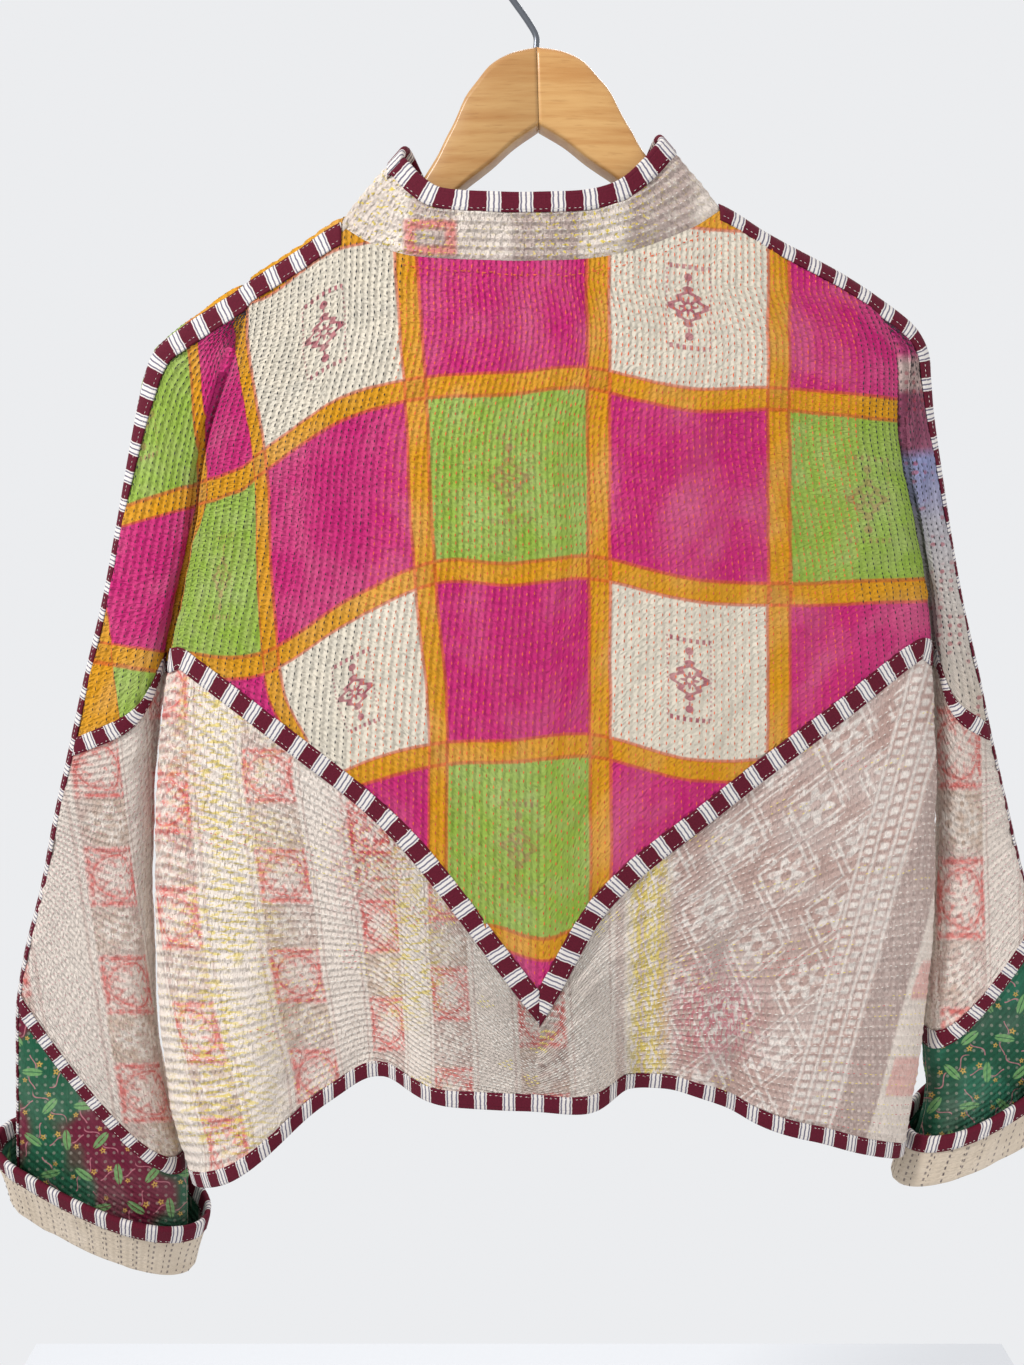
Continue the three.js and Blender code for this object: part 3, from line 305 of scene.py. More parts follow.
def refine(lines, counts):
    """Grid rows between given lines: a cubic through the lines, counts[i] rows in gap i."""
    gap = gaps(lines).mean(axis=1)
    slopes = chord_slopes(summed(gap), lines)
    rows = []
    for i, count in enumerate(counts):
        u = np.linspace(0, 1, count, endpoint=False)[:, None, None]
        rows.append(cubic(lines[i], lines[i + 1], slopes[i] * gap[i], slopes[i + 1] * gap[i], u))
    return np.concatenate(rows + [lines[-1:]])


# The photograph's view, which also places the printed patterns on the cloth
CAMERA = np.array([-13.0, -697.0, -366.0])
PITCH = math.radians(10)
FOCAL_PIXELS = 986
FRAME_PIXELS = (1024, 1365)
LEAST_SPREAD = 0.46


def seen_at(points):
    """Place in the photograph's frame, in pixels."""
    x, y, z = np.moveaxis(points - CAMERA, -1, 0)
    depth = y * math.cos(PITCH) - z * math.sin(PITCH)
    up = y * math.sin(PITCH) + z * math.cos(PITCH)
    return FRAME_PIXELS[0] / 2 + FOCAL_PIXELS * x / depth, FRAME_PIXELS[1] / 2 - FOCAL_PIXELS * up / depth


def print_map(points, anchor):
    """Pattern place of each point: where it is seen, but never squeezed to under LEAST_SPREAD
    of the cloth's own length where the cloth turns away."""
    px, py = seen_at(points)
    across, down = gaps(points, 1) * LEAST_SPREAD, gaps(points, 0) * LEAST_SPREAD
    way = np.sign(px[:, -1].mean() - px[:, 0].mean())
    run = summed(np.maximum(np.diff(px, axis=1) * way, across) * way, 1)
    u = run - run[:, anchor[1], None] + px[:, anchor[1], None]
    run = summed(np.maximum(np.diff(py, axis=0), down))
    v = run - run[anchor[0]] + py[anchor[0]]
    return np.stack([u, v], -1)


NOISE_CELLS = 64


def value_noise(u, v, seed):
    """Smooth noise from -1 to 1: random values on a lattice of unit cells, blended between."""
    table = np.random.default_rng(seed).uniform(-1, 1, (NOISE_CELLS, NOISE_CELLS))
    i, j = np.floor(u).astype(int), np.floor(v).astype(int)
    a, b = smooth(u - i), smooth(v - j)
    i, right, j, below = (n % NOISE_CELLS for n in (i, i + 1, j, j + 1))
    return lerp(lerp(table[i, j], table[right, j], a), lerp(table[i, below], table[right, below], a), b)


def runs(points):
    """Mean length run along a grid's columns and rows, in mm."""
    return summed(gaps(points, 1).mean(axis=0)), summed(gaps(points, 0).mean(axis=1))


QUILT_ROWS = 5.7


def quilted(points, along_rows, seed, rise=0.8):
    """Height of the quilting: a ridge between every two stitch rows, broken by small puckers."""
    u, v = runs(points)
    u, v = np.meshgrid(u, v)
    cross, along = (v, u) if along_rows else (u, v)
    ridge = 0.5 - 0.5 * np.cos(2 * np.pi * cross / QUILT_ROWS)
    pucker = value_noise(cross / QUILT_ROWS, along / 9, seed)
    soft = value_noise(u / 34, v / 30, seed + 1) + 0.5 * value_noise(u / 15, v / 17, seed + 2)
    return rise * ridge * (0.8 + 0.5 * pucker) + 0.4 * pucker + 0.8 * soft


def make_mesh(name, verts, quads, uv_maps, smooth_shading=True):
    """Links a new mesh with its pattern maps, one number pair to a vertex."""
    mesh = bpy.data.meshes.new(name)
    mesh.vertices.add(len(verts))
    mesh.vertices.foreach_set("co", np.asarray(verts, np.float32).ravel() * MM)
    mesh.loops.add(quads.size)
    mesh.loops.foreach_set("vertex_index", quads.astype(np.int32).ravel())
    mesh.polygons.add(len(quads))
    mesh.polygons.foreach_set("loop_start", np.arange(len(quads), dtype=np.int32) * quads.shape[1])
    mesh.polygons.foreach_set("use_smooth", np.full(len(quads), smooth_shading))
    for layer, values in uv_maps.items():
        uv = mesh.uv_layers.new(name=layer)
        uv.data.foreach_set("uv", values[quads.ravel()].astype(np.float32).ravel())
    mesh.update()
    mesh.validate()
    thing = bpy.data.objects.new(name, mesh)
    bpy.context.scene.collection.objects.link(thing)
    return thing


def shell(name, parts, wall):
    """A thin closed shell on grids of points. Each part holds its points, normals, lift of its
    outer layer, pattern maps, and the material numbers of its outer and inner faces."""
    verts, quads, maps, finish, base = [], [], {}, [], 0
    for part in parts:
        points, normals = part["points"], part["normals"]
        rows, columns = points.shape[:2]
        lift = part.get("lift", 0)
        lift = np.broadcast_to(lift, (rows, columns))[..., None]
        ids = np.arange(rows * columns).reshape(rows, columns)
        outer = (points + normals * (wall / 2 + lift)).reshape(-1, 3)
        inner = (points + normals * (lift * 0.6 - wall / 2)).reshape(-1, 3)
        a, b, c, d = (q.ravel() for q in (ids[:-1, :-1], ids[:-1, 1:], ids[1:, 1:], ids[1:, :-1]))
        faces = np.column_stack([a, d, c, b])
        middle = rows // 2 * columns + columns // 2
        one = faces[min(len(faces) - 1, middle)]
        turn = np.cross(outer[one[1]] - outer[one[0]], outer[one[2]] - outer[one[0]])
        normal_there = normals.reshape(-1, 3)[one[0]]
        flipped = (turn * normal_there).sum() < 0
        ring = np.concatenate([ids[0, :-1], ids[:-1, -1], ids[-1, :0:-1], ids[:0:-1, 0]])
        following = np.roll(ring, -1)
        n = rows * columns
        rim = np.column_stack([ring, following, following + n, ring + n])
        if flipped:
            faces, rim = faces[:, ::-1], rim[:, ::-1]
        verts += [outer, inner]
        quads += [faces + base, faces[:, ::-1] + n + base, rim + base]
        outside, inside = part.get("finish", (0, 1))
        finish.append(np.broadcast_to(np.asarray(outside), (rows - 1, columns - 1)).ravel())
        finish.append(np.full(len(faces), inside))
        finish.append(np.full(len(rim), inside))
        for key, values in part["maps"].items():
            flat = values.reshape(-1, 2)
            maps.setdefault(key, []).append(np.concatenate([flat, flat]))
        base += 2 * n
    maps = {key: np.concatenate(values) for key, values in maps.items()}
    thing = make_mesh(name, np.concatenate(verts), np.concatenate(quads), maps)
    numbers = np.concatenate(finish)
    if len(thing.data.polygons) == len(numbers):
        thing.data.polygons.foreach_set("material_index", numbers.astype(np.int32))
    return thing


class Finish:
    """A material: node() adds any node, and what comes back is used in expressions."""

    def __init__(self, name):
        self.material = bpy.data.materials.new(name)
        self.material.use_nodes = True
        self.tree = self.material.node_tree
        self.shader = self.tree.nodes["Principled BSDF"]

    def node(self, kind, settings=None, inputs=None, output=0):
        made = self.tree.nodes.new(kind)
        for key, value in (settings or {}).items():
            if key == "stops":
                ramp = made.color_ramp
                while len(ramp.elements) < len(value):
                    ramp.elements.new(0.5)
                for element, (place, colour) in zip(ramp.elements, value):
                    element.position = place
                    element.color = (*colour, 1)
            else:
                setattr(made, key, value)
        for key, value in (inputs or {}).items():
            self.feed(made.inputs[key], value)
        return Shade(self, made.outputs[output])

    def feed(self, socket, value):
        if isinstance(value, Shade):
            self.tree.links.new(value.socket, socket)
        elif socket.type == "RGBA" and len(value) == 3:
            socket.default_value = (*value, 1)
        else:
            socket.default_value = value

    def mix(self, share, low, high):
        """Colour from low to high by share."""
        kind = {"data_type": "RGBA", "clamp_factor": True}
        return self.node("ShaderNodeMix", kind, {0: share, 6: low, 7: high}, 2)

    def layer(self, name):
        """The two numbers of a pattern map."""
        parts = self.node("ShaderNodeSeparateXYZ", {}, {0: self.node("ShaderNodeUVMap", {"uv_map": name})})
        return parts, Shade(self, parts.socket.node.outputs[1])

    def noise(self, at, scale, detail=2.0, roughness=0.5):
        inputs = {"Vector": at, "Scale": scale, "Detail": detail, "Roughness": roughness}
        return self.node("ShaderNodeTexNoise", {}, inputs)

    def mottled(self, x, y, detail):
        """Noise over two numbers of a pattern map, from 0 to 1."""
        return self.noise(self.node("ShaderNodeCombineXYZ", {}, {0: x, 1: y, 2: 0.0}), 1.0, detail)

    def of_object(self):
        """Object coordinates, in metres."""
        return self.node("ShaderNodeTexCoord", {}, {}, 3)

    def finish(self, colour, roughness=0.9, normal=None):
        self.feed(self.shader.inputs["Base Color"], colour)
        self.feed(self.shader.inputs["Roughness"], roughness)
        self.shader.inputs["Specular IOR Level"].default_value = 0.2
        if normal is not None:
            self.feed(self.shader.inputs["Normal"], normal)
        return self.material


def operator(operation, reflected=False):
    """A method that adds one Math node, with its values swapped where Python reflects them."""
    def method(self, *others):
        values = (*others, self) if reflected else (self, *others)
        return self.owner.node("ShaderNodeMath", {"operation": operation}, dict(enumerate(values)))

    return method


class Shade:
    """One output of a node. Arithmetic on it adds Math nodes, and | takes the larger of two."""

    def __init__(self, owner, socket):
        self.owner, self.socket = owner, socket

    __add__ = __radd__ = operator("ADD")
    __sub__, __rsub__ = operator("SUBTRACT"), operator("SUBTRACT", reflected=True)
    __mul__ = __rmul__ = operator("MULTIPLY")
    __truediv__ = operator("DIVIDE")
    __or__, __abs__ = operator("MAXIMUM"), operator("ABSOLUTE")
    floor, fract, root = operator("FLOOR"), operator("FRACT"), operator("SQRT")
    sine, cosine, turn_from = operator("SINE"), operator("COSINE"), operator("ARCTAN2")

    def rise(self, low, high):
        """0 below low, 1 above high, smooth between."""
        kind = {"interpolation_type": "SMOOTHSTEP", "clamp": True}
        return self.owner.node("ShaderNodeMapRange", kind, {0: self, 1: low, 2: high})

    def near(self, centre, half, soft):
        """1 within half of centre, 0 outside it."""
        return 1 - abs(self - centre).rise(half - soft, half + soft)


def length_of(x, y):
    """Length of a pair of numbers."""
    return (x * x + y * y).root()


def from_dot(x, y, pitch):
    """Distance from the nearest dot of a square grid, in pitches."""
    return length_of((x / pitch).fract() - 0.5, (y / pitch).fract() - 0.5)


def cotton_bump(finish, along_rows, strength=0.8):
    """Fine ripple of running stitch: short troughs along each stitch row, over a plain weave."""
    u, v = finish.layer("cloth")
    cross, along = (v, u) if along_rows else (u, v)
    wave = (cross * (2 * math.pi / QUILT_ROWS)).cosine()
    wrinkle = finish.mottled(cross * 0.19, along * 0.42, 2.5)
    gather = (along * (2 * math.pi / 5) + (cross / QUILT_ROWS).floor() * 2.4).cosine()
    weave = (u * 7.5).sine() * (v * 7.5).sine()
    height = wrinkle * 2.6 + wave * -0.4 + gather * (0.5 + 0.5 * wave) * 0.3 + weave * 0.05
    return finish.node("ShaderNodeBump", {}, {"Strength": strength, "Distance": 0.0024, "Height": height})


def worn(finish, colour, amount=0.16):
    """Cotton faded unevenly, and a little lighter in fine random flecks."""
    u, v = finish.layer("cloth")
    patchy = finish.mottled(u * 0.02, v * 0.02, 3.0)
    thread = finish.mottled(u * 1.1, v * 1.1, 1.0)
    faded = finish.mix(patchy.rise(0.4, 0.75) * amount, colour, (0.72, 0.66, 0.6))
    grey = 0.96 + 0.2 * thread * patchy.rise(0.1, 0.9)
    tint = finish.node("ShaderNodeCombineColor", {}, {0: grey, 1: grey, 2: grey})
    kind = {"data_type": "RGBA", "blend_type": "MULTIPLY"}
    return finish.node("ShaderNodeMix", kind, {0: 1.0, 6: faded, 7: tint}, 2)


# Back yoke, cut in one with the upper backs of both sleeves. It is a hand-loomed look check of
# magenta, green and cream cells between ochre bands, block printed with a small sprig in the pale
# cells, and quilted with upright rows of running stitch.
CHECK_BANDS = {
    "upright": [
        [(345, 72), (740, 120)],
        [(345, 196), (490, 205), (550, 190), (655, 166), (740, 160)],
        [(345, 238), (470, 258), (560, 262), (690, 275), (740, 300)],
        [(255, 405), (380, 415), (500, 420), (600, 427), (700, 437), (860, 437)],
        [(258, 598), (900, 600)],
        [(265, 778), (760, 778)],
        [(300, 948), (700, 962)],
        [(300, 1110), (700, 1120)],
    ],
    "level": [
        [(100, 330), (262, 290), (340, 240), (587, 210), (770, 226), (918, 240)],
        [(120, 520), (180, 500), (240, 480), (262, 462), (340, 410), (407, 390), (510, 383), (587, 378),
         (690, 400), (770, 398), (918, 412)],
        [(90, 648), (180, 662), (262, 665), (350, 612), (437, 572), (510, 575), (590, 568), (690, 590),
         (770, 595), (925, 590)],
        [(90, 870), (262, 830), (345, 780), (430, 755), (510, 750), (592, 745), (690, 770), (770, 770),
         (925, 770)],
        [(300, 985), (480, 935), (545, 950), (600, 930), (900, 950)],
        [(300, 1165), (480, 1115), (600, 1110), (900, 1130)],
    ],
}


def check_map(seen):
    """Cell numbers of the check: its upright bands lie on whole u, its level bands on whole v."""
    px, py = seen[..., 0], seen[..., 1]
    columns = [curve(band)(np.clip(py, band[0][0], band[-1][0])) for band in CHECK_BANDS["upright"]]
    rows = [curve(band)(np.clip(px, band[0][0], band[-1][0])) for band in CHECK_BANDS["level"]]
    u = -1 + sum(np.clip((px - left) / (right - left), 0, 1) for left, right in zip(columns, columns[1:]))
    v = sum(np.clip((py - top) / (bottom - top), 0, 1) for top, bottom in zip(rows, rows[1:]))
    return np.stack([u, v], -1)


MAGENTA, GREEN, CREAM = (0.54, 0.016, 0.16), (0.28, 0.43, 0.05), (0.76, 0.68, 0.55)
OCHRE, FLAME, ROSE = (0.66, 0.29, 0.006), (0.6, 0.1, 0.02), (0.4, 0.1, 0.13)


def sprig(x, y):
    """A block-printed sprig, from -1 to 1 in height: a flower in a toothed diamond, with a bud above
    and below, between two hatched bars."""
    r = length_of(x, y)
    petals = (y.turn_from(x) * 8).cosine()
    flower = (1 - (r - (0.15 + 0.05 * petals)).rise(-0.02, 0.02)) * r.rise(0.04, 0.07)
    reach = abs(x) * 1.15 + abs(y)
    teeth = (abs(y) * 34).sine() * 0.055
    diamond = (reach - teeth).near(0.4, 0.085, 0.03)
    bud = 1 - length_of(x, abs(y) - 0.66).rise(0.075, 0.1)
    stem = abs(x).near(0, 0.02, 0.012) * abs(y).rise(0.46, 0.5) * (1 - abs(y).rise(0.66, 0.7))
    hatch = (x * 46).sine().rise(-0.2, 0.3)
    bars = abs(y).near(0.9, 0.055, 0.015) * (1 - abs(x).rise(0.44, 0.46)) * hatch
    sides = abs(x).near(0.46, 0.02, 0.012) * (1 - abs(y).rise(0.93, 0.95))
    sides = sides * (y * 60).sine().rise(-0.3, 0.2)
    return flower | diamond | bud | stem | bars | sides * 0.7


def check_cotton():
    """The yoke's check of magenta, green and cream with ochre bands and sprigs."""
    f = Finish("check_cotton")
    u, v = f.layer("check")
    wobble = f.mottled(u * 3, v * 3, 2.0) * 0.02 - 0.01
    u, v = u + wobble, v + wobble
    i, j = u.floor(), v.floor()
    odd = ((i + j) * 0.5).fract().rise(0.2, 0.3)
    pale = (i * 0.5).fract().rise(0.2, 0.3) * i.rise(-0.7, -0.3)
    x, y = (u - i - 0.5) * 2, (v - j - 0.5) * 2
    printed = sprig(x * 1.9, y * 2.05)
    mottle = f.mottled(u * 9, v * 9, 4.0).rise(0.3, 0.75)
    cream = f.mix(mottle * 0.35, CREAM, (0.5, 0.48, 0.42))
    cream = f.mix(printed * (0.75 + 0.25 * mottle), cream, ROSE)
    green = f.mix(mottle * 0.6, GREEN, (0.36, 0.43, 0.13))
    green = f.mix(printed * (0.35 + 0.3 * mottle), green, (0.36, 0.13, 0.08))
    pink = f.mix(mottle * 0.35, MAGENTA, (0.62, 0.07, 0.2))
    cell = f.mix(odd, pink, f.mix(pale, green, cream))
    from_u, from_v = 1 - abs(x), 1 - abs(y)
    across, down = 1 - from_u.rise(0.1, 0.12), 1 - from_v.rise(0.1, 0.12)
    band, crossing = across | down, across * down
    edge = from_u.near(0.12, 0.02, 0.012) | from_v.near(0.12, 0.02, 0.012)
    gold = f.mix(mottle * 0.4, OCHRE, (0.62, 0.32, 0.04))
    gold = f.mix(crossing * 0.5, gold, (0.5, 0.22, 0.02))
    colour = f.mix(edge * 0.75, f.mix(band, cell, gold), FLAME)
    return f.finish(worn(f, colour, 0.1), 0.88, cotton_bump(f, False))


def reverse_cotton():
    """The plain beige reverse, with the dark dashes of the running stitch showing through."""
    f = Finish("reverse_cotton")
    u, v = f.layer("cloth")
    dash = (v / 6.2 + (u / 12.5).floor() * 0.37).fract().near(0.5, 0.24, 0.06)
    line = (u / 12.5).fract().near(0.5, 0.055, 0.03)
    mottle = f.mottled(u * 0.05, v * 0.05, 4.0)
    base = f.mix(mottle, (0.5, 0.41, 0.31), (0.66, 0.56, 0.45))
    colour = f.mix(line * dash * 0.75, base, (0.1, 0.08, 0.09))
    return f.finish(worn(f, colour, 0.1), 0.92, cotton_bump(f, False, 0.35))


REVERSE = reverse_cotton()


def thread_finish():
    """Cotton sewing thread, in the colour that each stitch carries."""
    f = Finish("sewing_thread")
    colour = f.node("ShaderNodeAttribute", {"attribute_name": "thread"})
    twist = f.noise(f.of_object(), 900.0, 1.0)
    tinted = f.mix(twist.rise(0.4, 0.9) * 0.12, colour, (0.7, 0.66, 0.6))
    return f.finish(tinted, 0.7)


THREAD = thread_finish()


def read_grid(values, r, c):
    """Bilinear reading of a grid at fractional rows and columns."""
    r = np.clip(r, 0, values.shape[0] - 1.001)
    c = np.clip(c, 0, values.shape[1] - 1.001)
    i, j = r.astype(int), c.astype(int)
    a, b = (r - i)[:, None], (c - j)[:, None]
    return lerp(lerp(values[i, j], values[i + 1, j], a), lerp(values[i, j + 1], values[i + 1, j + 1], a), b)


# the eight faces of a stitch: ahead, left, behind, right, over and under its middle
SPINDLE = np.array([[0, 1, 4], [1, 2, 4], [2, 3, 4], [3, 0, 4], [1, 0, 5], [2, 1, 5], [3, 2, 5], [0, 3, 5]])


def running_stitch(name, parts, colour_of, seed, pitch=5.0, length=2.3, width=0.62, every=QUILT_ROWS):
    """Rows of short stitches lying on the grids' outer faces. Each stitch is a flat spindle of eight
    faces along its row. colour_of gives the thread's colour from the places where it is seen."""
    rng = np.random.default_rng(seed)
    verts, faces, tints = [], [], []
    for part in parts:
        points, normals, along_rows = part["points"], part["normals"], part["along_rows"]
        wall = part.get("wall", WALL)
        lift = np.broadcast_to(part.get("lift", 0), points.shape[:2])[..., None]
        surface = points + normals * (wall / 2 + lift)
        u, v = runs(points)
        cross_run, along_run = (v, u) if along_rows else (u, v)
        lines = np.array(part.get("lines", np.arange(every * 0.5, cross_run[-1] - 1, every)))
        steps = np.arange(pitch * 0.5, along_run[-1] - pitch * 0.4, pitch)
        cross, along = np.meshgrid(lines, steps, indexing="ij")
        shifted = (np.arange(len(lines))[:, None] * 0.37 % 1) * pitch
        along = along + shifted + rng.normal(0, 0.35, along.shape)
        cross = cross + rng.normal(0, 0.22, cross.shape)
        cross, along = cross.ravel(), np.clip(along.ravel(), 0, along_run[-1])
        cross_at = np.interp(cross, cross_run, np.arange(len(cross_run)))
        along_at = np.interp(along, along_run, np.arange(len(along_run)))
        ahead_at = np.interp(along + 1, along_run, np.arange(len(along_run)))
        rc = (cross_at, along_at) if along_rows else (along_at, cross_at)
        ahead = (cross_at, ahead_at) if along_rows else (ahead_at, cross_at)
        centre, normal = read_grid(surface, *rc), read_grid(normals, *rc)
        tangent = read_grid(surface, *ahead) - centre
        size = np.linalg.norm(tangent, axis=1, keepdims=True)
        good = (size[:, 0] > 1e-4) & part.get("keep", lambda at: np.full(len(at), True))(centre)
        centre, normal, tangent, size = centre[good], normal[good], tangent[good], size[good]
        tangent /= size
        sideways = np.cross(tangent, normal)
        half = length / 2 * rng.uniform(0.75, 1.2, (len(centre), 1))
        wide = width / 2
        corners = np.stack([centre + tangent * half, centre + sideways * wide, centre - tangent * half,
                            centre - sideways * wide, centre + normal * 0.3, centre - normal * 0.25], 1)
        mirrored = np.dot(np.cross(tangent[0], sideways[0]), normal[0]) < 0
        spindle = SPINDLE[:, ::-1] if mirrored else SPINDLE
        start = sum(len(block) for block in verts)
        faces.append((np.arange(len(centre))[:, None, None] * 6 + spindle + start).reshape(-1, 3))
        verts.append(corners.reshape(-1, 3))
        tint = colour_of(*seen_at(centre), rng)
        tints.append(np.repeat(np.column_stack([tint, np.ones(len(tint))]), 6, axis=0))
    thing = make_mesh(name, np.concatenate(verts), np.concatenate(faces), {}, False)
    layer = thing.data.color_attributes.new("thread", "FLOAT_COLOR", "POINT")
    layer.data.foreach_set("color", np.concatenate(tints).astype(np.float32).ravel())
    thing.data.materials.append(THREAD)
    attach(thing, "root")
    return thing


def tidy_shell(thing):
    """Joins the points that a grid has more than once, as at the point of a shoulder."""
    work = bmesh.new()
    work.from_mesh(thing.data)
    bmesh.ops.remove_doubles(work, verts=work.verts, dist=1e-6)
    work.to_mesh(thing.data)
    work.free()


def cloth_map(points):
    """Pattern map in millimetres along the cloth."""
    u, v = runs(points)
    return np.stack(np.meshgrid(u, v), -1)


HALF_CHEST, HALF_DEPTH, COLUMN_STEP = 262, 40, 1.95
ACROSS = even_columns(HALF_CHEST, HALF_DEPTH, COLUMN_STEP)
UPPER_ROWS, LOWER_ROWS = 92, 106
back = back_wall(ACROSS, UPPER_ROWS, LOWER_ROWS)

# soft creases of the hanging back: x and z where each starts and ends, height and half width
BACK_CREASES = [
    (-30, -260, -18, -640, 3.0, 16), (28, -250, 40, -560, -3.2, 20), (-75, -300, -95, -560, 2.4, 22),
    (95, -280, 120, -560, 2.6, 24), (-150, -260, -185, -470, -2.8, 22), (180, -270, 215, -470, -2.6, 20),
    (-8, -210, -12, -330, -2.0, 14), (60, -205, 84, -330, 2.0, 15), (150, -200, 178, -330, 2.2, 16),
    (-200, -560, -212, -860, 2.6, 20), (-160, -600, -172, -850, -2.4, 16), (190, -560, 205, -850, 2.6, 18),
    (120, -640, 126, -800, 3.6, 12), (-70, -640, -64, -790, 2.8, 18),
]


def creased(points, creases):
    """Height of soft creases: each is a bell across a slanting line, fading at its two ends."""
    x, z = points[..., 0], points[..., 2]
    height = 0
    for x0, z0, x1, z1, rise, half in creases:
        u = (z0 - z) / (z0 - z1)
        centre = lerp(x0, x1, u)
        ends = smooth(u * 3 + 0.5) * smooth((1 - u) * 3 + 0.5)
        height = height + rise * ends * np.exp(-(((x - centre) / half) ** 2))
    return height


back_normals = facing(back)
back = back + back_normals * creased(back, BACK_CREASES)[..., None]
back_normals = facing(back)
back_seen = print_map(back, (55, len(ACROSS) // 2))
ZIGZAG_ROW = UPPER_ROWS - 1


def outer_fold(side, p):
    """Points of the sleeve's outer fold as (x, z), and the direction from each into the sleeve."""
    path_x, path_z = side["over"][1:]
    outer = np.stack([path_x(p), path_z(p)], -1)
    ahead = np.stack([path_x(p + 1), path_z(p + 1)], -1) - outer
    ahead /= np.linalg.norm(ahead, axis=-1, keepdims=True)
    return outer, side["sign"] * np.stack([ahead[:, 1], -ahead[:, 0]], -1)


def band_points(side, face, p, seam_arc, turn, offsets, breadth_to):
    """Rows of points across the overarm seam, offsets from it measured as arcs."""
    outer, inside = outer_fold(side, p)
    arc = (seam_arc[:, None] if face == "back" else -seam_arc[:, None]) + offsets[None, :]
    drop = drop_at(np.abs(arc))
    angle = np.clip(arc / SHOULDER_ROLL, -ROLL_ANGLE, ROLL_ANGLE)
    depth = np.sign(arc) * reach_at(np.abs(arc), face) + turn[:, None] * np.sin(angle)
    x = outer[:, :1] + inside[:, :1] * drop
    z = outer[:, 1:] + inside[:, 1:] * drop
    push = turn[:, None] * np.cos(angle) / breadth_to[:, 2:]
    return np.stack([x + breadth_to[:, :1] * push, middle_y(x) + OUTWARD[face] * depth,
                     z + breadth_to[:, 1:2] * push], -1)


OVERARM_STEPS = [0, 0.09, 0.15, 0.21, 0.28, 0.4, 0.55, 0.7, 0.86]
SEAM_MARGIN = 9


def sleeve_plan(side):
    """Lines round the sleeve from shoulder to cuff: their place on the overarm and the inner edge,
    the sag between the two, and how far the turned cuff stands off."""
    run = side["over"][0]
    zig, second, cuff = (run[i] for i in side["over_marks"])
    inner_run = side["under"][0]
    inner = [inner_run[i] for i in side["inner_marks"]]
    upper = [step * zig for step in OVERARM_STEPS] + [zig - SEAM_MARGIN, zig]
    p = list(upper)
    under = [0.0] * 11
    sag = [ZIGZAG_SAG * (k / 10) ** 2 for k in range(11)]
    for u in (0.08, 0.3, 0.55, 0.8, 1):
        p.append(lerp(zig, second, u))
        under.append(lerp(inner[0], inner[1], u))
        sag.append(lerp(ZIGZAG_SAG, 8, u))
    for u in (0.1, 0.4, 0.7, 1):
        p.append(lerp(second, cuff, u))
        under.append(lerp(inner[1], inner[2], u))
        sag.append(8 * (1 - u))
    turn = [0.0] * len(p)
    turned = [(-CUFF_FOLD * 0.75, CUFF_FOLD * 0.34), (-CUFF_FOLD, CUFF_FOLD),
              (-CUFF_FOLD * 0.75, CUFF_FOLD * 1.66), (0, 2 * CUFF_FOLD),
              (16, lerp(2 * CUFF_FOLD, side["flare"], 0.3)), (36, lerp(2 * CUFF_FOLD, side["flare"], 0.75)),
              (CUFF_TURN, side["flare"])]
    for above, out in turned:
        p.append(cuff - above)
        under.append(inner[2] - above)
        sag.append(0)
        turn.append(out)
    p = np.array(p)
    seam = np.where(p < zig, lerp(side["seam"][0], side["seam"][1], smooth(p / zig / 0.6)),
                    lerp(side["seam"][1], side["seam"][2], (p - zig) / (cuff - zig)))
    return dict(p=p, under=np.array(under), sag=np.array(sag), turn=np.array(turn), seam=seam, upper=11)


def sleeve_lines(side, face, heights, band, region):
    """One face of a sleeve: a row of points for each line, over the seam band and then across to the
    side fold (above the underarm) or to the sleeve's inner edge."""
    plan = sleeve_plan(side)
    sign = side["sign"]
    upper = np.arange(len(plan["p"])) < plan["upper"]
    fold_z = np.concatenate([heights, np.zeros(len(plan["p"]) - plan["upper"])])
    corner = np.stack([side["fold_x"](fold_z) + sign * WEB / 2, fold_z], -1)
    inner = np.stack([side["under"][1](plan["under"]), side["under"][2](plan["under"])], -1)
    end = np.where(upper[:, None], corner, inner)
    outer, inside = outer_fold(side, plan["p"])
    out = outer - end
    breadth = np.column_stack([out, np.linalg.norm(out, axis=1)])
    bands = band_points(side, face, plan["p"], plan["seam"], plan["turn"], band, breadth)
    last_arc = (plan["seam"] if face == "back" else -plan["seam"]) + band[-1]
    drop = drop_at(last_arc)[:, None]
    start = outer + inside * drop
    across = np.linalg.norm(end - start, axis=1)[:, None]
    opened = np.where(upper, openness(side["shoulder_z"], side["underarm_z"], fold_z), 0)[:, None]
    edge = body_point(face, body_x(sign, fold_z), fold_z)
    held = np.where(upper, np.abs(edge[:, 1] - middle_y(edge[:, 0])), 0)[:, None]
    end_reach = reach_at(arc_at_drop(drop + across), face)
    u = region[None, :]
    q = (drop + across * u) / (drop + across)
    full = reach_at(arc_at_drop(drop + across * u), face)
    depth = full * (opened + (1 - opened) * roundness(q, SLEEVE_ROUNDNESS))
    depth = depth + (held - opened * end_reach) * q ** 3
    angle = lerp(ROLL_ANGLE, np.pi, u ** 3)
    turn = plan["turn"][:, None]
    x = lerp(start[:, :1], end[:, :1], u)
    z = lerp(start[:, 1:], end[:, 1:], u) - plan["sag"][:, None] * u * (1 - u ** 6)
    push = turn * np.cos(angle) / breadth[:, 2:]
    depth = depth + turn * np.sin(angle)
    spread = np.stack([x + breadth[:, :1] * push, middle_y(x) + OUTWARD[face] * depth,
                       z + breadth[:, 1:2] * push], -1)
    spread[0] = bands[0, -1]
    return np.concatenate([bands, spread[:, 1:]], axis=1), edge


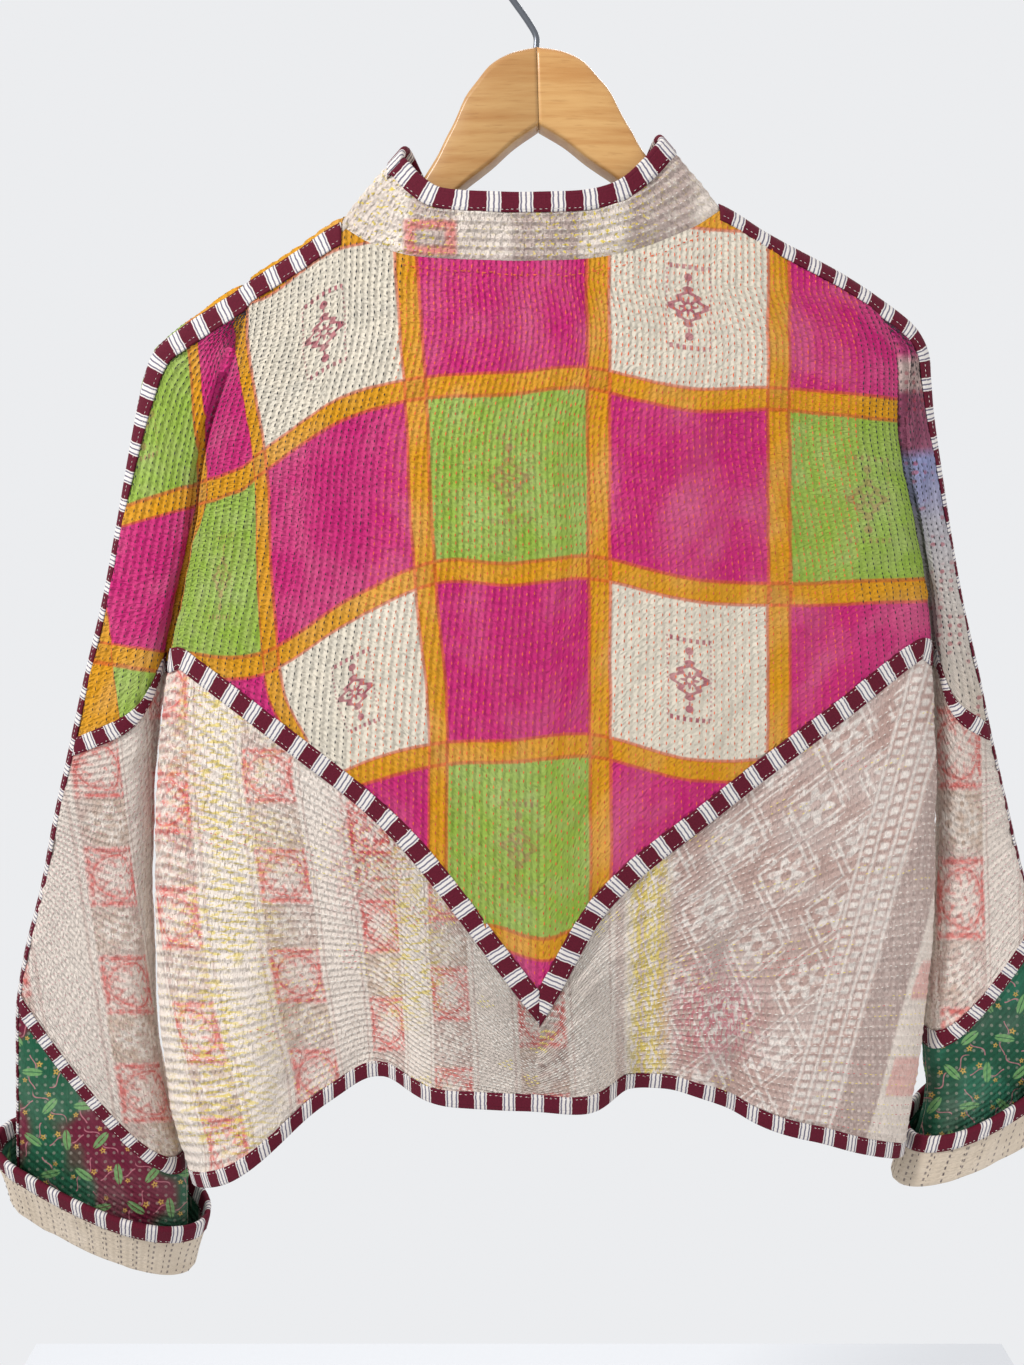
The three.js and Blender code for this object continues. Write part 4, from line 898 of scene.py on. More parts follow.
SLEEVE_ACROSS = 1 - (1 - np.linspace(0, 1, 40)) ** 1.15
BACK_BAND = np.linspace(0, STRIP_HALF, 4)
FRONT_BAND = np.linspace(0, 3 * STRIP_HALF, 9)
UPPER_COUNTS = [10] * 8 + [11, 3]
LOWER_COUNTS = [4, 12, 14, 14, 12, 8, 18, 18, 14] + [3, 3, 3, 3, 6, 8, 5]


def side_heights(face, side):
    """Heights of the body's side edge at the sleeve's upper lines."""
    margin = 7.5 if face == "back" else 8
    arc = side["seam"][0] + STRIP_HALF if face == "back" else -side["seam"][0] + 3 * STRIP_HALF
    top = float(ridge_z(body_x(side["sign"], side["shoulder_z"])) - drop_at(np.array(arc)))
    seam = side["underarm_z"]
    return np.concatenate([[lerp(top, seam + margin, k / 9) for k in range(10)], [seam]])


def sleeve_face(name, face):
    """Both grids of one face of a sleeve, with their normals."""
    side = SIDES[name]
    band = BACK_BAND if face == "back" else FRONT_BAND
    lines, edge = sleeve_lines(side, face, side_heights(face, side), band, SLEEVE_ACROSS)
    top = slice(len(UPPER_COUNTS) + 1)
    upper = refine(np.concatenate([lines[top], edge[top, None]], axis=1), UPPER_COUNTS)
    whole = refine(lines, UPPER_COUNTS + LOWER_COUNTS)
    normals = facing_safe(whole)
    return dict(upper=upper, upper_normals=facing_safe(upper), whole=whole, normals=normals)


def facing_safe(points):
    """Normals of a sleeve grid, whose first row may be a single point."""
    normals = facing(points)
    normals[0] = normals[1].mean(axis=0) / np.linalg.norm(normals[1].mean(axis=0))
    return normals


SLEEVES = {(name, face): sleeve_face(name, face) for name in SIDES for face in OUTWARD}
# spaces of the sleeve's lower part that lie above its second seam, and above its cuff's fold
TO_SECOND, TO_FOLD = 5, 11
SLEEVE_ROW = {"zigzag": sum(UPPER_COUNTS), "second": sum(UPPER_COUNTS) + sum(LOWER_COUNTS[:TO_SECOND]),
              "fold": sum(UPPER_COUNTS) + sum(LOWER_COUNTS[:TO_FOLD])}

CHECK_CLOTH = check_cotton()


def patched_cotton():
    """Old sari pieces of the right sleeve: rose, maroon, blue-lilac and beige patches in level bands."""
    f = Finish("patched_cotton")
    px, py = f.layer("print")
    wobble = f.mottled(px * 0.012, py * 0.012, 2.0) * 24 - 12
    down = (py + wobble - 300) / 400
    stops = [(0.0, (0.5, 0.03, 0.17)), (0.13, (0.5, 0.03, 0.17)), (0.16, (0.5, 0.36, 0.33)),
             (0.22, (0.5, 0.36, 0.33)), (0.24, (0.24, 0.05, 0.1)), (0.36, (0.3, 0.09, 0.15)),
             (0.39, (0.27, 0.29, 0.5)), (0.5, (0.3, 0.3, 0.46)), (0.56, (0.42, 0.4, 0.44)),
             (0.72, (0.55, 0.5, 0.46)), (1.0, (0.58, 0.5, 0.42))]
    base = f.node("ShaderNodeValToRGB", {"stops": stops}, {0: down})
    dots = from_dot(px, py, 9)
    speck = (1 - dots.rise(0.2, 0.3)) * f.mottled(px * 0.03, py * 0.03, 1.0).rise(0.5, 0.6)
    colour = f.mix(speck * 0.6, base, (0.4, 0.05, 0.08))
    return f.finish(worn(f, colour, 0.2), 0.9, cotton_bump(f, False))


def yoke_thread(px, py, rng):
    """Black thread at both sides of the back, orange-red in the middle."""
    dark = (px < 400 - (py - 300) * 0.12) | (px > 858)
    red = np.array([0.62, 0.11, 0.03])
    tint = np.where(dark[:, None], np.array([0.012, 0.012, 0.02]), red)
    return tint * rng.uniform(0.7, 1.25, (len(px), 1))


def from_edges(points, axis):
    """Distance of each point from the nearer edge of its grid, measured along one axis, in mm."""
    run = summed(gaps(points, axis), axis)
    return np.minimum(run, np.take(run, [-1], axis) - run)


def part_of(points, normals, seen, along_rows, seed, rise=0.8, finish=(0, 1)):
    """A piece of the form with its quilting, flat at its seams, its pattern maps and its finish."""
    fade = smooth(from_edges(points, 0) / 11) * smooth(from_edges(points, 1) / 8)
    lift = quilted(points, along_rows, seed, rise) * fade
    maps = {"cloth": cloth_map(points), "print": seen, "check": check_map(seen)}
    return dict(points=points, normals=normals, lift=lift, maps=maps, along_rows=along_rows, finish=finish)


def middle_seen(grid):
    """Pattern places of a grid, anchored in its middle."""
    return print_map(grid, (len(grid) // 2, grid.shape[1] // 2))


def hold(thing, node, materials):
    """Gives a piece its materials and puts it in place of its solid."""
    for material in materials:
        thing.data.materials.append(material)
    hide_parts(node)
    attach(thing, "root")


def sew_panel(name, node, parts, materials, sewing_name, sewn, stitches):
    """Makes one cut piece of cloth, hangs it in place of its solid, and sews the rows of stitches
    that lie on the parts in sewn."""
    thing = shell(name, parts, WALL)
    tidy_shell(thing)
    hold(thing, node, materials)
    sewing = running_stitch(sewing_name, sewn, **stitches)


def sew_quilted(node, parts, materials, stitches, topstitched=()):
    """A panel whose quilting rows are sewn all over, with its lines of topstitching."""
    name = node + "_cloth"
    sew_panel(name, node, parts, materials, name + "_stitches", [*parts, *topstitched], stitches)


yoke_seen = back_seen[:UPPER_ROWS]
yoke_parts = [part_of(back[:UPPER_ROWS], back_normals[:UPPER_ROWS], yoke_seen, False, 11)]
for name in SIDES:
    grid, normals = SLEEVES[name, "back"]["upper"], SLEEVES[name, "back"]["upper_normals"]
    outside = 0 if name == "left" else 2
    yoke_parts.append(part_of(grid, normals, middle_seen(grid), False, 15, 0.7, (outside, 1)))
under_neck = (ACROSS > -0.5) & (ACROSS < 0.44)
NECK_ROWS = 14
neck_row = dict(points=back[:NECK_ROWS, under_neck], normals=back_normals[:NECK_ROWS, under_neck],
                along_rows=True, lift=0.5, lines=(8.5,))
sew_quilted("back_yoke", yoke_parts, [CHECK_CLOTH, REVERSE, patched_cotton()],
            dict(colour_of=yoke_thread, seed=21, length=3.1, width=1.05), [neck_row])

# Lower back, from the zigzag seam to the hem: an old sari in faded cream and rose. At the left it has
# slanting columns of coral framed flowers and taupe flower blocks between plain stripes; at the right
# a pale star lattice and a border of four lines. Its stitch rows run level and pucker it strongly.
BOX_COLUMNS = [
    [(700, -50), (1180, 30)], [(700, 98), (1180, 165)],
    [(802, 164), (925, 172), (1038, 194), (1145, 226)], [(775, 268), (871, 287), (978, 302), (1075, 323)],
    [(827, 371), (925, 385), (1024, 392)], [(950, 444), (1050, 450)], [(980, 538), (1080, 545)],
    [(980, 640), (1080, 645)], [(980, 740), (1080, 750)], [(980, 850), (1080, 855)],
    [(700, 958), (1080, 972)], [(980, 1040), (1080, 1050)], [(980, 1140), (1080, 1150)],
]
BOX_ROWS = [(760, 104), (768, 108), (802, 115), (775, 100), (827, 98), (993, 100), (1019, 100), (770, 104),
            (820, 104), (760, 108), (748, 150), (830, 104), (780, 104)]


def box_map(seen):
    """Column and row numbers of the printed boxes: a framed box is centred on each whole u and v."""
    px, py = seen[..., 0], seen[..., 1]
    columns = [curve(line)(np.clip(py, line[0][0], line[-1][0])) for line in BOX_COLUMNS]
    u = -2 + sum(np.clip((px - left) / (right - left), 0, 1) for left, right in zip(columns, columns[1:]))
    nearest = np.clip(np.round(u).astype(int) + 2, 0, len(BOX_ROWS) - 1)
    first, pitch = np.array(BOX_ROWS)[nearest].T
    return np.stack([u, (py - first.T) / pitch.T], -1)


PALE, STRIPE_CREAM, TAUPE = (0.8, 0.66, 0.6), (0.88, 0.77, 0.68), (0.56, 0.38, 0.33)
CORAL, YELLOW, CRIMSON = (0.74, 0.17, 0.15), (0.78, 0.6, 0.08), (0.6, 0.03, 0.05)


def blossom(x, y, petals, size, turn=0.0):
    """A printed flower of round petals with an open heart."""
    r = length_of(x, y)
    wave = (y.turn_from(x) * petals + turn).cosine()
    return (1 - (r - size * (0.75 + 0.25 * wave)).rise(-0.03, 0.03)) * r.rise(size * 0.22, size * 0.32)


def box_print(f, u, v, px, py):
    """Framed flower boxes and taupe flower blocks in columns, with plain cream stripes between."""
    column, row = (u + 0.5).floor(), (v + 0.5).floor()
    x, y = u - column, v - row
    in_column = 1 - abs(x).rise(0.235, 0.262)
    grain = f.mottled(px * 0.16, py * 0.16, 3.0)
    flecks = f.mottled(px * 0.09, py * 0.3, 2.0)
    patches = f.mottled(px * 0.011, py * 0.011, 1.0)
    framed = 1 - abs(y).rise(0.27, 0.29)
    edge = (abs(x) * 1.13 | abs(y)).near(0.245, 0.022, 0.012)
    beads = ((x * 75).sine() * (y * 75).sine()).rise(-0.5, 0.3)
    flower = blossom(x, y, 8, 0.17) | blossom(x, y, 16, 0.075)
    corners = blossom(abs(x) - 0.19, abs(y) - 0.2, 4, 0.05)
    ring = (length_of(x, y) - 0.2).near(0, 0.014, 0.01)
    coral_share = (edge | ring | beads * 0.5 + 0.3) * (1 - (flower | corners) * 0.85)
    box = f.mix(coral_share * (0.5 + 0.5 * grain.rise(0.3, 0.6)), STRIPE_CREAM, CORAL)
    down = abs(y) - 0.5
    taupe = f.mix(patches.rise(0.4, 0.6), TAUPE, (0.55, 0.38, 0.28))
    blooms = blossom(abs(x) - 0.115, down, 6, 0.1) | blossom(x, abs(down) - 0.13, 5, 0.08)
    block = f.mix((1 - blooms) * (0.35 + 0.5 * grain.rise(0.3, 0.65)), STRIPE_CREAM, taupe)
    printed = f.mix(framed, block, box)
    stripe = f.mix(abs(x).near(0.30, 0.012, 0.01) * 0.5, STRIPE_CREAM, TAUPE)
    colour = f.mix(in_column * 0.95, stripe, printed)
    sunny = (px.near(228, 45, 35) | px.near(416, 26, 20)) * patches.rise(0.35, 0.5)
    colour = f.mix(flecks.rise(0.5, 0.6) * sunny * 0.75, colour, YELLOW)
    red_side = px.near(372, 32, 22) * py.near(845, 62, 50)
    red_side = red_side | px.near(178, 24, 22) * py.near(800, 70, 60) * 0.6
    return f.mix(grain.rise(0.45, 0.6) * red_side * 0.6, colour, CRIMSON)


def medallion_cotton():
    """The lower panels' faded box print in stripes of taupe and coral."""
    f = Finish("medallion_cotton")
    px, py = f.layer("print")
    u, v = f.layer("boxes")
    colour = box_print(f, u, v, px, py)
    return f.finish(worn(f, colour, 0.12), 0.92, cotton_bump(f, True, 1.0))


def lattice_cotton():
    """The right half of the lower back: a pale lattice of stars on taupe, its stitched yellow stripe
    and its slanting border."""
    f = Finish("lattice_cotton")
    px, py = f.layer("print")
    grain = f.mottled(px * 0.16, py * 0.16, 3.0)
    flecks = f.mottled(px * 0.3, py * 0.12, 2.0)
    lean = px + (py - 900) * 0.42
    x, y = (lean / 62).fract() - 0.5, (py / 70 + (lean / 62).floor() * 0.5).fract() - 0.5
    star = blossom(x, y, 6, 0.3) | blossom(abs(x) - 0.34, abs(y) - 0.2, 4, 0.1)
    star = star | (abs(x) + abs(y)).near(0.44, 0.03, 0.02) | (abs(x) + abs(y)).near(0.58, 0.02, 0.015)
    broad = f.mottled(px * 0.02, py * 0.02, 1.0)
    ground = f.mix(broad.rise(0.35, 0.7), TAUPE, (0.64, 0.5, 0.45))
    lattice = f.mix(star * (0.3 + 0.7 * grain.rise(0.3, 0.6)), ground, (0.88, 0.79, 0.72))
    left_side = 1 - px.rise(655, 680)
    stripes = (px / 21).fract().near(0.5, 0.22, 0.1)
    left = f.mix(stripes * 0.5, STRIPE_CREAM, TAUPE)
    sunny = px.near(650, 20, 8) * flecks.rise(0.42, 0.55)
    left = f.mix(sunny * 0.8, left, YELLOW)
    colour = f.mix(left_side, lattice, left)
    border = px - (869 - (py - 900) * 0.275)
    lines = (abs(border) - 15).near(0, 8.5, 1.5) * (1 - (abs(border) - 15).near(0, 5.5, 1.5))
    beads = ((py / 9).fract().near(0.5, 0.3, 0.12)) * abs(border).near(15, 3.6, 1.5)
    middle = ((py / 12).fract().near(0.5, 0.3, 0.12)) * abs(border).near(0, 3.6, 1.5)
    outside = border.rise(24, 27)
    plain = f.mix(grain.rise(0.4, 0.6) * 0.5, (0.5, 0.37, 0.33), (0.6, 0.48, 0.43))
    dots = from_dot(px, py, 7)
    plain = f.mix((1 - dots.rise(0.16, 0.26)) * 0.6, plain, PALE)
    colour = f.mix(outside, f.mix(1 - abs(border).rise(23, 26), colour, ground), plain)
    colour = f.mix((lines | beads | middle) * 0.85, colour, (0.88, 0.8, 0.73))
    blush = px.near(712, 42, 30) * py.near(1015, 40, 30)
    colour = f.mix(blush * flecks.rise(0.45, 0.55) * 0.6, colour, (0.62, 0.1, 0.16))
    boxes = (py / 96 + 0.3).fract().near(0.5, 0.2, 0.03) * (border - 66).rise(0, 3)
    edge = f.mix(boxes * (0.2 + 0.5 * grain), STRIPE_CREAM, CORAL)
    colour = f.mix((border - 60).rise(0, 3) * 0.9, colour, edge)
    return f.finish(worn(f, colour, 0.1), 0.92, cotton_bump(f, True, 0.95))


def pale_thread(px, py, rng):
    """Cream thread, with runs of yellow and of rose."""
    threads = np.array([(0.75, 0.72, 0.66), (0.6, 0.52, 0.47), (0.76, 0.62, 0.16), (0.6, 0.16, 0.16)])
    run = value_noise(px / 60, py / 40, 5) + value_noise(px / 22, py / 15, 6) * 0.6
    return threads[np.digitize(run, [0.1, 0.45, 0.85])] * rng.uniform(0.85, 1.1, (len(px), 1))


def with_boxes(part):
    """Adds the pattern map of the box print to a part."""
    part["maps"]["boxes"] = box_map(part["maps"]["print"])
    return part


MEDALLION, LATTICE = medallion_cotton(), lattice_cotton()
LATTICE_FROM = 610
lower_seen = back_seen[ZIGZAG_ROW:]
lower_face = np.where(lower_seen[:-1, :-1, 0] < LATTICE_FROM, 0, 2)
lower_part = part_of(back[ZIGZAG_ROW:], back_normals[ZIGZAG_ROW:], lower_seen, True, 31,
                     finish=(lower_face, 1))
sew_quilted("back_lower", [with_boxes(lower_part)], [MEDALLION, REVERSE, LATTICE],
            dict(colour_of=pale_thread, seed=33, length=2.9, width=0.8))

# Middle sleeve pieces, between the two sleeve seams: printed like the lower back, faded and rippled.


def rose_thread(px, py, rng):
    """Thread of pale and rose stretches."""
    pale = (value_noise(px / 40, py / 40, 8) > 0.2)[:, None]
    tint = np.where(pale, [0.62, 0.5, 0.44], [0.5, 0.22, 0.24])
    return tint * rng.uniform(0.8, 1.15, (len(px), 1))


middle_rows = slice(SLEEVE_ROW["zigzag"], SLEEVE_ROW["second"] + 1)
for name, face in SLEEVES:
    grid, normals = SLEEVES[name, face]["whole"][middle_rows], SLEEVES[name, face]["normals"][middle_rows]
    piece = with_boxes(part_of(grid, normals, middle_seen(grid), True, 41, 0.9))
    sew_quilted(f"sleeve_middle_{face}_{name}", [piece], [MEDALLION, REVERSE],
                dict(colour_of=rose_thread, seed=43, width=0.6))

# Sleeve ends: maroon and dark green cotton with loose printed leaves. The cuff is turned back over
# itself, so its beige reverse shows, with the dark stitches that run from the edge to the fold.


def leafy_cotton(name, ground, patch):
    """Dark cotton scattered with leaf sprays, dots and small flowers in gold, rose and pale green."""
    f = Finish(name)
    px, py = f.layer("print")
    wide = f.mottled(px * 0.013, py * 0.013, 1.0)
    base = f.mix(wide.rise(0.46, 0.54), ground, patch)
    cell = 34
    row = (py / cell).floor()
    shifted = px / cell + row * 0.5
    x, y = shifted.fract() - 0.5, (py / cell).fract() - 0.5
    turn = shifted.floor() * 2.3 + row * 1.7
    cosine, sine = turn.cosine(), turn.sine()
    x, y = x * cosine - y * sine, x * sine + y * cosine
    leaf = 1 - (length_of(x * 2.6, y) - 0.3).rise(-0.03, 0.03)
    vein = abs(x).near(0, 0.012, 0.01)
    buds = blossom(x - 0.24, y - 0.2, 5, 0.09) | blossom(x + 0.25, y + 0.22, 5, 0.07)
    dots = 1 - from_dot(px, py, 8.5).rise(0.13, 0.22)
    colour = f.mix(dots * 0.35, base, (0.4, 0.36, 0.3))
    colour = f.mix((leaf - vein) * 0.85, colour, (0.16, 0.34, 0.12))
    colour = f.mix(buds * 0.9, colour, (0.6, 0.36, 0.08))
    stem = (y - (x * 9).sine() * 0.1).near(0, 0.018, 0.012) * abs(x).rise(0.1, 0.2)
    colour = f.mix(stem * 0.7, colour, (0.55, 0.2, 0.24))
    return f.finish(worn(f, colour, 0.08), 0.85, cotton_bump(f, True, 0.4))


def dark_thread(px, py, rng):
    """Nearly black thread."""
    return np.array([0.05, 0.035, 0.05]) * rng.uniform(0.6, 1.6, (len(px), 1))


END_COTTON = {"left": leafy_cotton("maroon_leaf_cotton", (0.13, 0.01, 0.03), (0.012, 0.09, 0.045)),
              "right": leafy_cotton("green_leaf_cotton", (0.012, 0.075, 0.04), (0.02, 0.12, 0.07))}
end_rows, cuff_rows = slice(SLEEVE_ROW["second"], None), slice(SLEEVE_ROW["fold"], None)
for name, face in SLEEVES:
    grid, normals = SLEEVES[name, face]["whole"], SLEEVES[name, face]["normals"]
    piece = part_of(grid[end_rows], normals[end_rows], middle_seen(grid[end_rows]), True, 51, 0.3)
    cuff = dict(points=grid[cuff_rows], normals=-normals[cuff_rows], along_rows=False, lift=0.1)
    node = f"sleeve_end_{face}_{name}"
    sew_panel(node + "_cloth", node, [piece], [END_COTTON[name], REVERSE], node + "_stitches", [cuff],
              dict(colour_of=dark_thread, seed=53, pitch=6.2, length=3.4, width=0.7, every=12.5))

# The two fronts, each a yoke cut in one with its upper sleeve front, and a lower front. They meet
# with an open gap at the middle. The left yoke is of the look check, the right one of grey-blue
# cotton sewn with red and black dashes, and both lower fronts of the rose print.
FRONT_TOP, FRONT_UPPER, FRONT_LOWER = 9, 76, 74
OPEN_COLUMNS = 40
FRONT_MIDDLE_Z = -600
# how the columns of the open part gather towards the neck, and how their tops fall along it
GATHER_POWER, NECK_FALL_POWER = 2.2, 1.1
# share of the open part at its top, and where the same column stands at the hem
HEM_SHARES = ([0, 0.875, 0.95, 1], [0, 0.84, 0.92, 1])


def front_wall(name):
    """One front from the shoulder and neck seams to the hem, and its last neck column."""
    side, sign = SIDES[name], SIDES[name]["sign"]
    neck = float(across_at(side["neck"], ridge_z(side["neck"])))
    shoulder = np.sort(ACROSS[::2][ACROSS[::2] * sign > neck * sign])
    shoulder = np.append(shoulder[::-1] if sign > 0 else shoulder, neck)
    share = np.concatenate([np.zeros(len(shoulder) - 1), np.linspace(0, 1, OPEN_COLUMNS)])
    across_top = np.concatenate([shoulder, np.full(OPEN_COLUMNS - 1, neck)])
    edge_x = sign * FRONT_GAP / 2
    top_x = lerp(body_x(across_top, side["shoulder_z"]), edge_x, share ** GATHER_POWER)
    first = -side["seam"][0] + (FRONT_NECK_ARC + side["seam"][0]) * share ** NECK_FALL_POWER
    low_share = np.interp(share, *HEM_SHARES)
    middle_x = lerp(body_x(across_top, FRONT_MIDDLE_Z), edge_x, low_share)
    across = np.where(share == 0, across_top, across_at(middle_x, FRONT_MIDDLE_Z))
    arcs = first + np.linspace(0, 3 * STRIP_HALF, FRONT_TOP + 1)[:, None]
    tops = ridge_point("front", top_x, arcs)
    start, seam, hem = tops[-1, :, 2], zigzag_z(across), hem_z(across)
    z = np.vstack([lerp(start, seam, u) for u in np.linspace(0, 1, FRONT_UPPER)[1:]]
                  + [lerp(seam, hem, u) for u in np.linspace(0, 1, FRONT_LOWER)[1:]])
    swing = smooth((start - z) / (start - seam))
    low_x = lerp(body_x(across_top, z), edge_x, low_share)
    x = np.where(share == 0, body_x(across_top, z), lerp(top_x, low_x, swing))
    return np.concatenate([tops, body_point("front", x, z)]), len(shoulder) - 1


def grey_patch_cotton():
    """Worn grey-blue cotton with short red and black dashes."""
    f = Finish("grey_patch_cotton")
    px, py = f.layer("print")
    mottle = f.mottled(px * 0.05, py * 0.05, 4.0)
    colour = f.mix(mottle, (0.28, 0.33, 0.42), (0.5, 0.5, 0.5))
    return f.finish(worn(f, colour, 0.15), 0.9, cotton_bump(f, False, 0.4))


def red_black_thread(px, py, rng):
    """Red and black stitches in turn, at random."""
    pick = rng.uniform(0, 1, (len(px), 1)) < 0.5
    return np.where(pick, [0.5, 0.03, 0.03], [0.02, 0.02, 0.02]) * rng.uniform(0.8, 1.2, (len(px), 1))


FRONTS = {name: front_wall(name) for name in SIDES}
FRONT_SEAM = FRONT_TOP + FRONT_UPPER - 1
GREY_PATCH = grey_patch_cotton()
for name in SIDES:
    grid = FRONTS[name][0]
    normals = facing(grid)
    seen = middle_seen(grid)
    sleeve, sleeve_normals = SLEEVES[name, "front"]["upper"], SLEEVES[name, "front"]["upper_normals"]
    yoke = [part_of(grid[:FRONT_SEAM + 1], normals[:FRONT_SEAM + 1], seen[:FRONT_SEAM + 1], False, 61),
            part_of(sleeve, sleeve_normals, middle_seen(sleeve), False, 63)]
    outside, thread = (CHECK_CLOTH, yoke_thread) if name == "left" else (GREY_PATCH, red_black_thread)
    sew_quilted(f"front_yoke_{name}", yoke, [outside, REVERSE], dict(colour_of=thread, seed=65))
    lower = with_boxes(part_of(grid[FRONT_SEAM:], normals[FRONT_SEAM:], seen[FRONT_SEAM:], True, 71))
    sew_quilted(f"front_lower_{name}", [lower], [MEDALLION, REVERSE], dict(colour_of=pale_thread, seed=73))

# Stand collar: a band of faded cream, taupe and coral cotton round the neck, puckered by level rows
# of stitches. It leans in over the shoulders and stays open at the front.
COLLAR_RISE, COLLAR_FRONT_RISE, COLLAR_TAPER = 40, 46, 0.32
COLLAR_LEAN = {"back": 0.9, "front": 1.1}
COLLAR_BOW = 3
COLLAR_ROWS = 26


def neck_line():
    """The neck seam from the left front's edge round the back to the right front's edge, and which
    of its points are on the fronts."""
    fronts = {name: grid[0, at:] for name, (grid, at) in FRONTS.items()}
    inside = (ACROSS > across_at(NECK["left"], ridge_z(NECK["left"]))) \
        & (ACROSS < across_at(NECK["right"], ridge_z(NECK["right"])))
    line = [fronts["left"][::-1], back[0, inside], fronts["right"]]
    return np.concatenate(line), np.concatenate([np.full(len(part), k != 1) for k, part in enumerate(line)])


def collar_wall():
    """The collar's grid from foot to rim, with its normals."""
    foot, on_front = neck_line()
    x, y, z = foot.T
    top_x = x * (1 - COLLAR_TAPER * smooth(np.abs(x) / abs(NECK["left"])))
    offset = y - middle_y(x)
    top_y = middle_y(top_x) + offset * np.where(offset > 0, COLLAR_LEAN["front"], COLLAR_LEAN["back"])
    top_z = z + lerp(COLLAR_RISE, COLLAR_FRONT_RISE, on_front * (1 - np.abs(x) / abs(NECK["left"])))
    top = np.column_stack([top_x, top_y, top_z])
    u = np.linspace(0, 1, COLLAR_ROWS)[:, None, None]
    bow = COLLAR_BOW * np.sin(np.pi * u[..., 0]) * np.sign(offset) * np.minimum(1, np.abs(offset) / 15)
    wall = lerp(foot[None], top[None], u)
    wall[..., 1] += bow
    return wall[::-1]


def collar_cotton():
    """Faded cream with three taupe stripes, a coral box with a pale flower, and yellow flecks."""
    f = Finish("collar_cotton")
    px, py = f.layer("print")
    broad = f.mottled(px * 0.02, py * 0.03, 1.0)
    grain = f.mottled(px * 0.12, py * 0.3, 3.0)
    stripes = px.near(434, 23, 5) | px.near(546, 34, 6) | px.near(660, 34, 8)
    colour = f.mix(stripes * (0.35 + 0.8 * grain), STRIPE_CREAM, (0.43, 0.31, 0.28))
    petals = blossom((px / 22).fract() - 0.5, (py / 16).fract() - 0.5, 6, 0.36)
    colour = f.mix(petals * 0.45, colour, (0.78, 0.7, 0.6))
    colour = f.mix(broad.rise(0.45, 0.6) * 0.3, colour, (0.4, 0.3, 0.26))
    frame_line = px.near(431, 26, 3) * py.near(238, 17, 3) * (1 - px.near(431, 15, 3) * py.near(238, 8, 3))
    smear = px.near(541, 27, 6) * py.near(203, 8, 4)
    colour = f.mix((frame_line | smear) * (0.45 + 0.6 * grain), colour, CORAL)
    flecked = px.near(590, 62, 20) | px.near(398, 46, 16)
    flecks = f.mottled(px * 0.22, py * 0.3, 1.0).rise(0.58, 0.66)
    colour = f.mix(flecks * (0.15 + 0.75 * flecked), colour, YELLOW)
    return f.finish(worn(f, colour, 0.1), 0.92, cotton_bump(f, True, 1.0))


collar = collar_wall()
collar_normals = facing(collar)
collar_part = part_of(collar, collar_normals, middle_seen(collar), True, 81, 0.9)
sew_quilted("collar", [collar_part], [collar_cotton(), REVERSE],
            dict(colour_of=pale_thread, seed=83, pitch=4.4))

# Striped strips that cover the seams: maroon blocks by turns with white ones that hold three thin
# navy lines, folded under at both sides and sewn down near each side.
STRIP_WALL, STRIP_CLEARANCE = 0.9, 0.35
STRIP_OUT = WALL / 2 + STRIP_CLEARANCE + STRIP_WALL / 2
STRIP_STEPS = np.linspace(-1, 1, 9)
BLOCK_PERIOD = 20.5
MAROON_SHARE = 0.53


def striped_cotton():
    """Maroon and white cotton, striped across the strip."""
    f = Finish("striped_cotton")
    along, across = f.layer("strip")
    wobble = f.mottled(along * 0.05, across * 1.5, 2.0) * 0.07
    place = (along / BLOCK_PERIOD + wobble).fract()
    white = place.rise(MAROON_SHARE, MAROON_SHARE + 0.02) * (1 - place.rise(0.975, 0.995))
    lines = ((place - MAROON_SHARE) / (1 - MAROON_SHARE) * 3 + 0.02).fract().near(0.5, 0.17, 0.06) * white
    grain = f.mottled(along * 0.9, across * 5, 3.0)
    maroon = f.mix(grain, (0.055, 0.003, 0.01), (0.14, 0.007, 0.024))
    colour = f.mix(white, maroon, f.mix(grain * 0.5, (0.74, 0.7, 0.66), (0.62, 0.55, 0.5)))
    colour = f.mix(lines * 0.85, colour, (0.045, 0.04, 0.11))
    weave = (along * 8.0).sine() * (across * 60).sine()
    seam = abs(across).near(0.78, 0.07, 0.06)
    pucker = f.mottled(along * 0.42, across * 1.2, 1.5)
    height = weave * 0.05 - seam * 0.5 + pucker * 1.1
    normal = f.node("ShaderNodeBump", {}, {"Strength": 0.45, "Distance": 0.001, "Height": height})
    return f.finish(colour, 0.85, normal)


STRIPED = striped_cotton()


def white_thread(px, py, rng):
    """Off-white thread."""
    return np.array([0.72, 0.68, 0.62]) * rng.uniform(0.85, 1.1, (len(px), 1))


def along_map(centre, points):
    """Pattern place on a strip: the length run along its centre line, corrected by how far each
    point lies ahead of its station, and its place from side to side."""
    tangent = np.gradient(centre, axis=0)
    tangent /= np.maximum(np.linalg.norm(tangent, axis=-1, keepdims=True), 1e-9)
    ahead = ((points - centre[:, None]) * tangent[:, None]).sum(axis=-1)
    return summed(gaps(centre))[:, None] + ahead


def sew_strip(node, grids, along_fields, side_places, lines, offset=STRIP_OUT):
    """Makes a strip or a binding on grids of [station][place across] and sews it down."""
    name = node + "_cloth"
    parts, length = [], 0
    for (points, normals), along in zip(grids, along_fields):
        places = np.broadcast_to(side_places, points.shape[:2])
        maps = {"strip": np.stack([along + length, places], -1)}
        parts.append(dict(points=points + normals * offset, normals=normals, lift=0.0, wall=STRIP_WALL,
                          along_rows=False, lines=lines, maps=maps))
        length += float(np.ptp(along))
    thing = shell(name, parts, STRIP_WALL)
    tidy_shell(thing)
    hold(thing, node, [STRIPED, STRIPED])
    sewing = running_stitch(name + "_stitches", parts, white_thread, 91, 3.6, 2.1, 0.5)


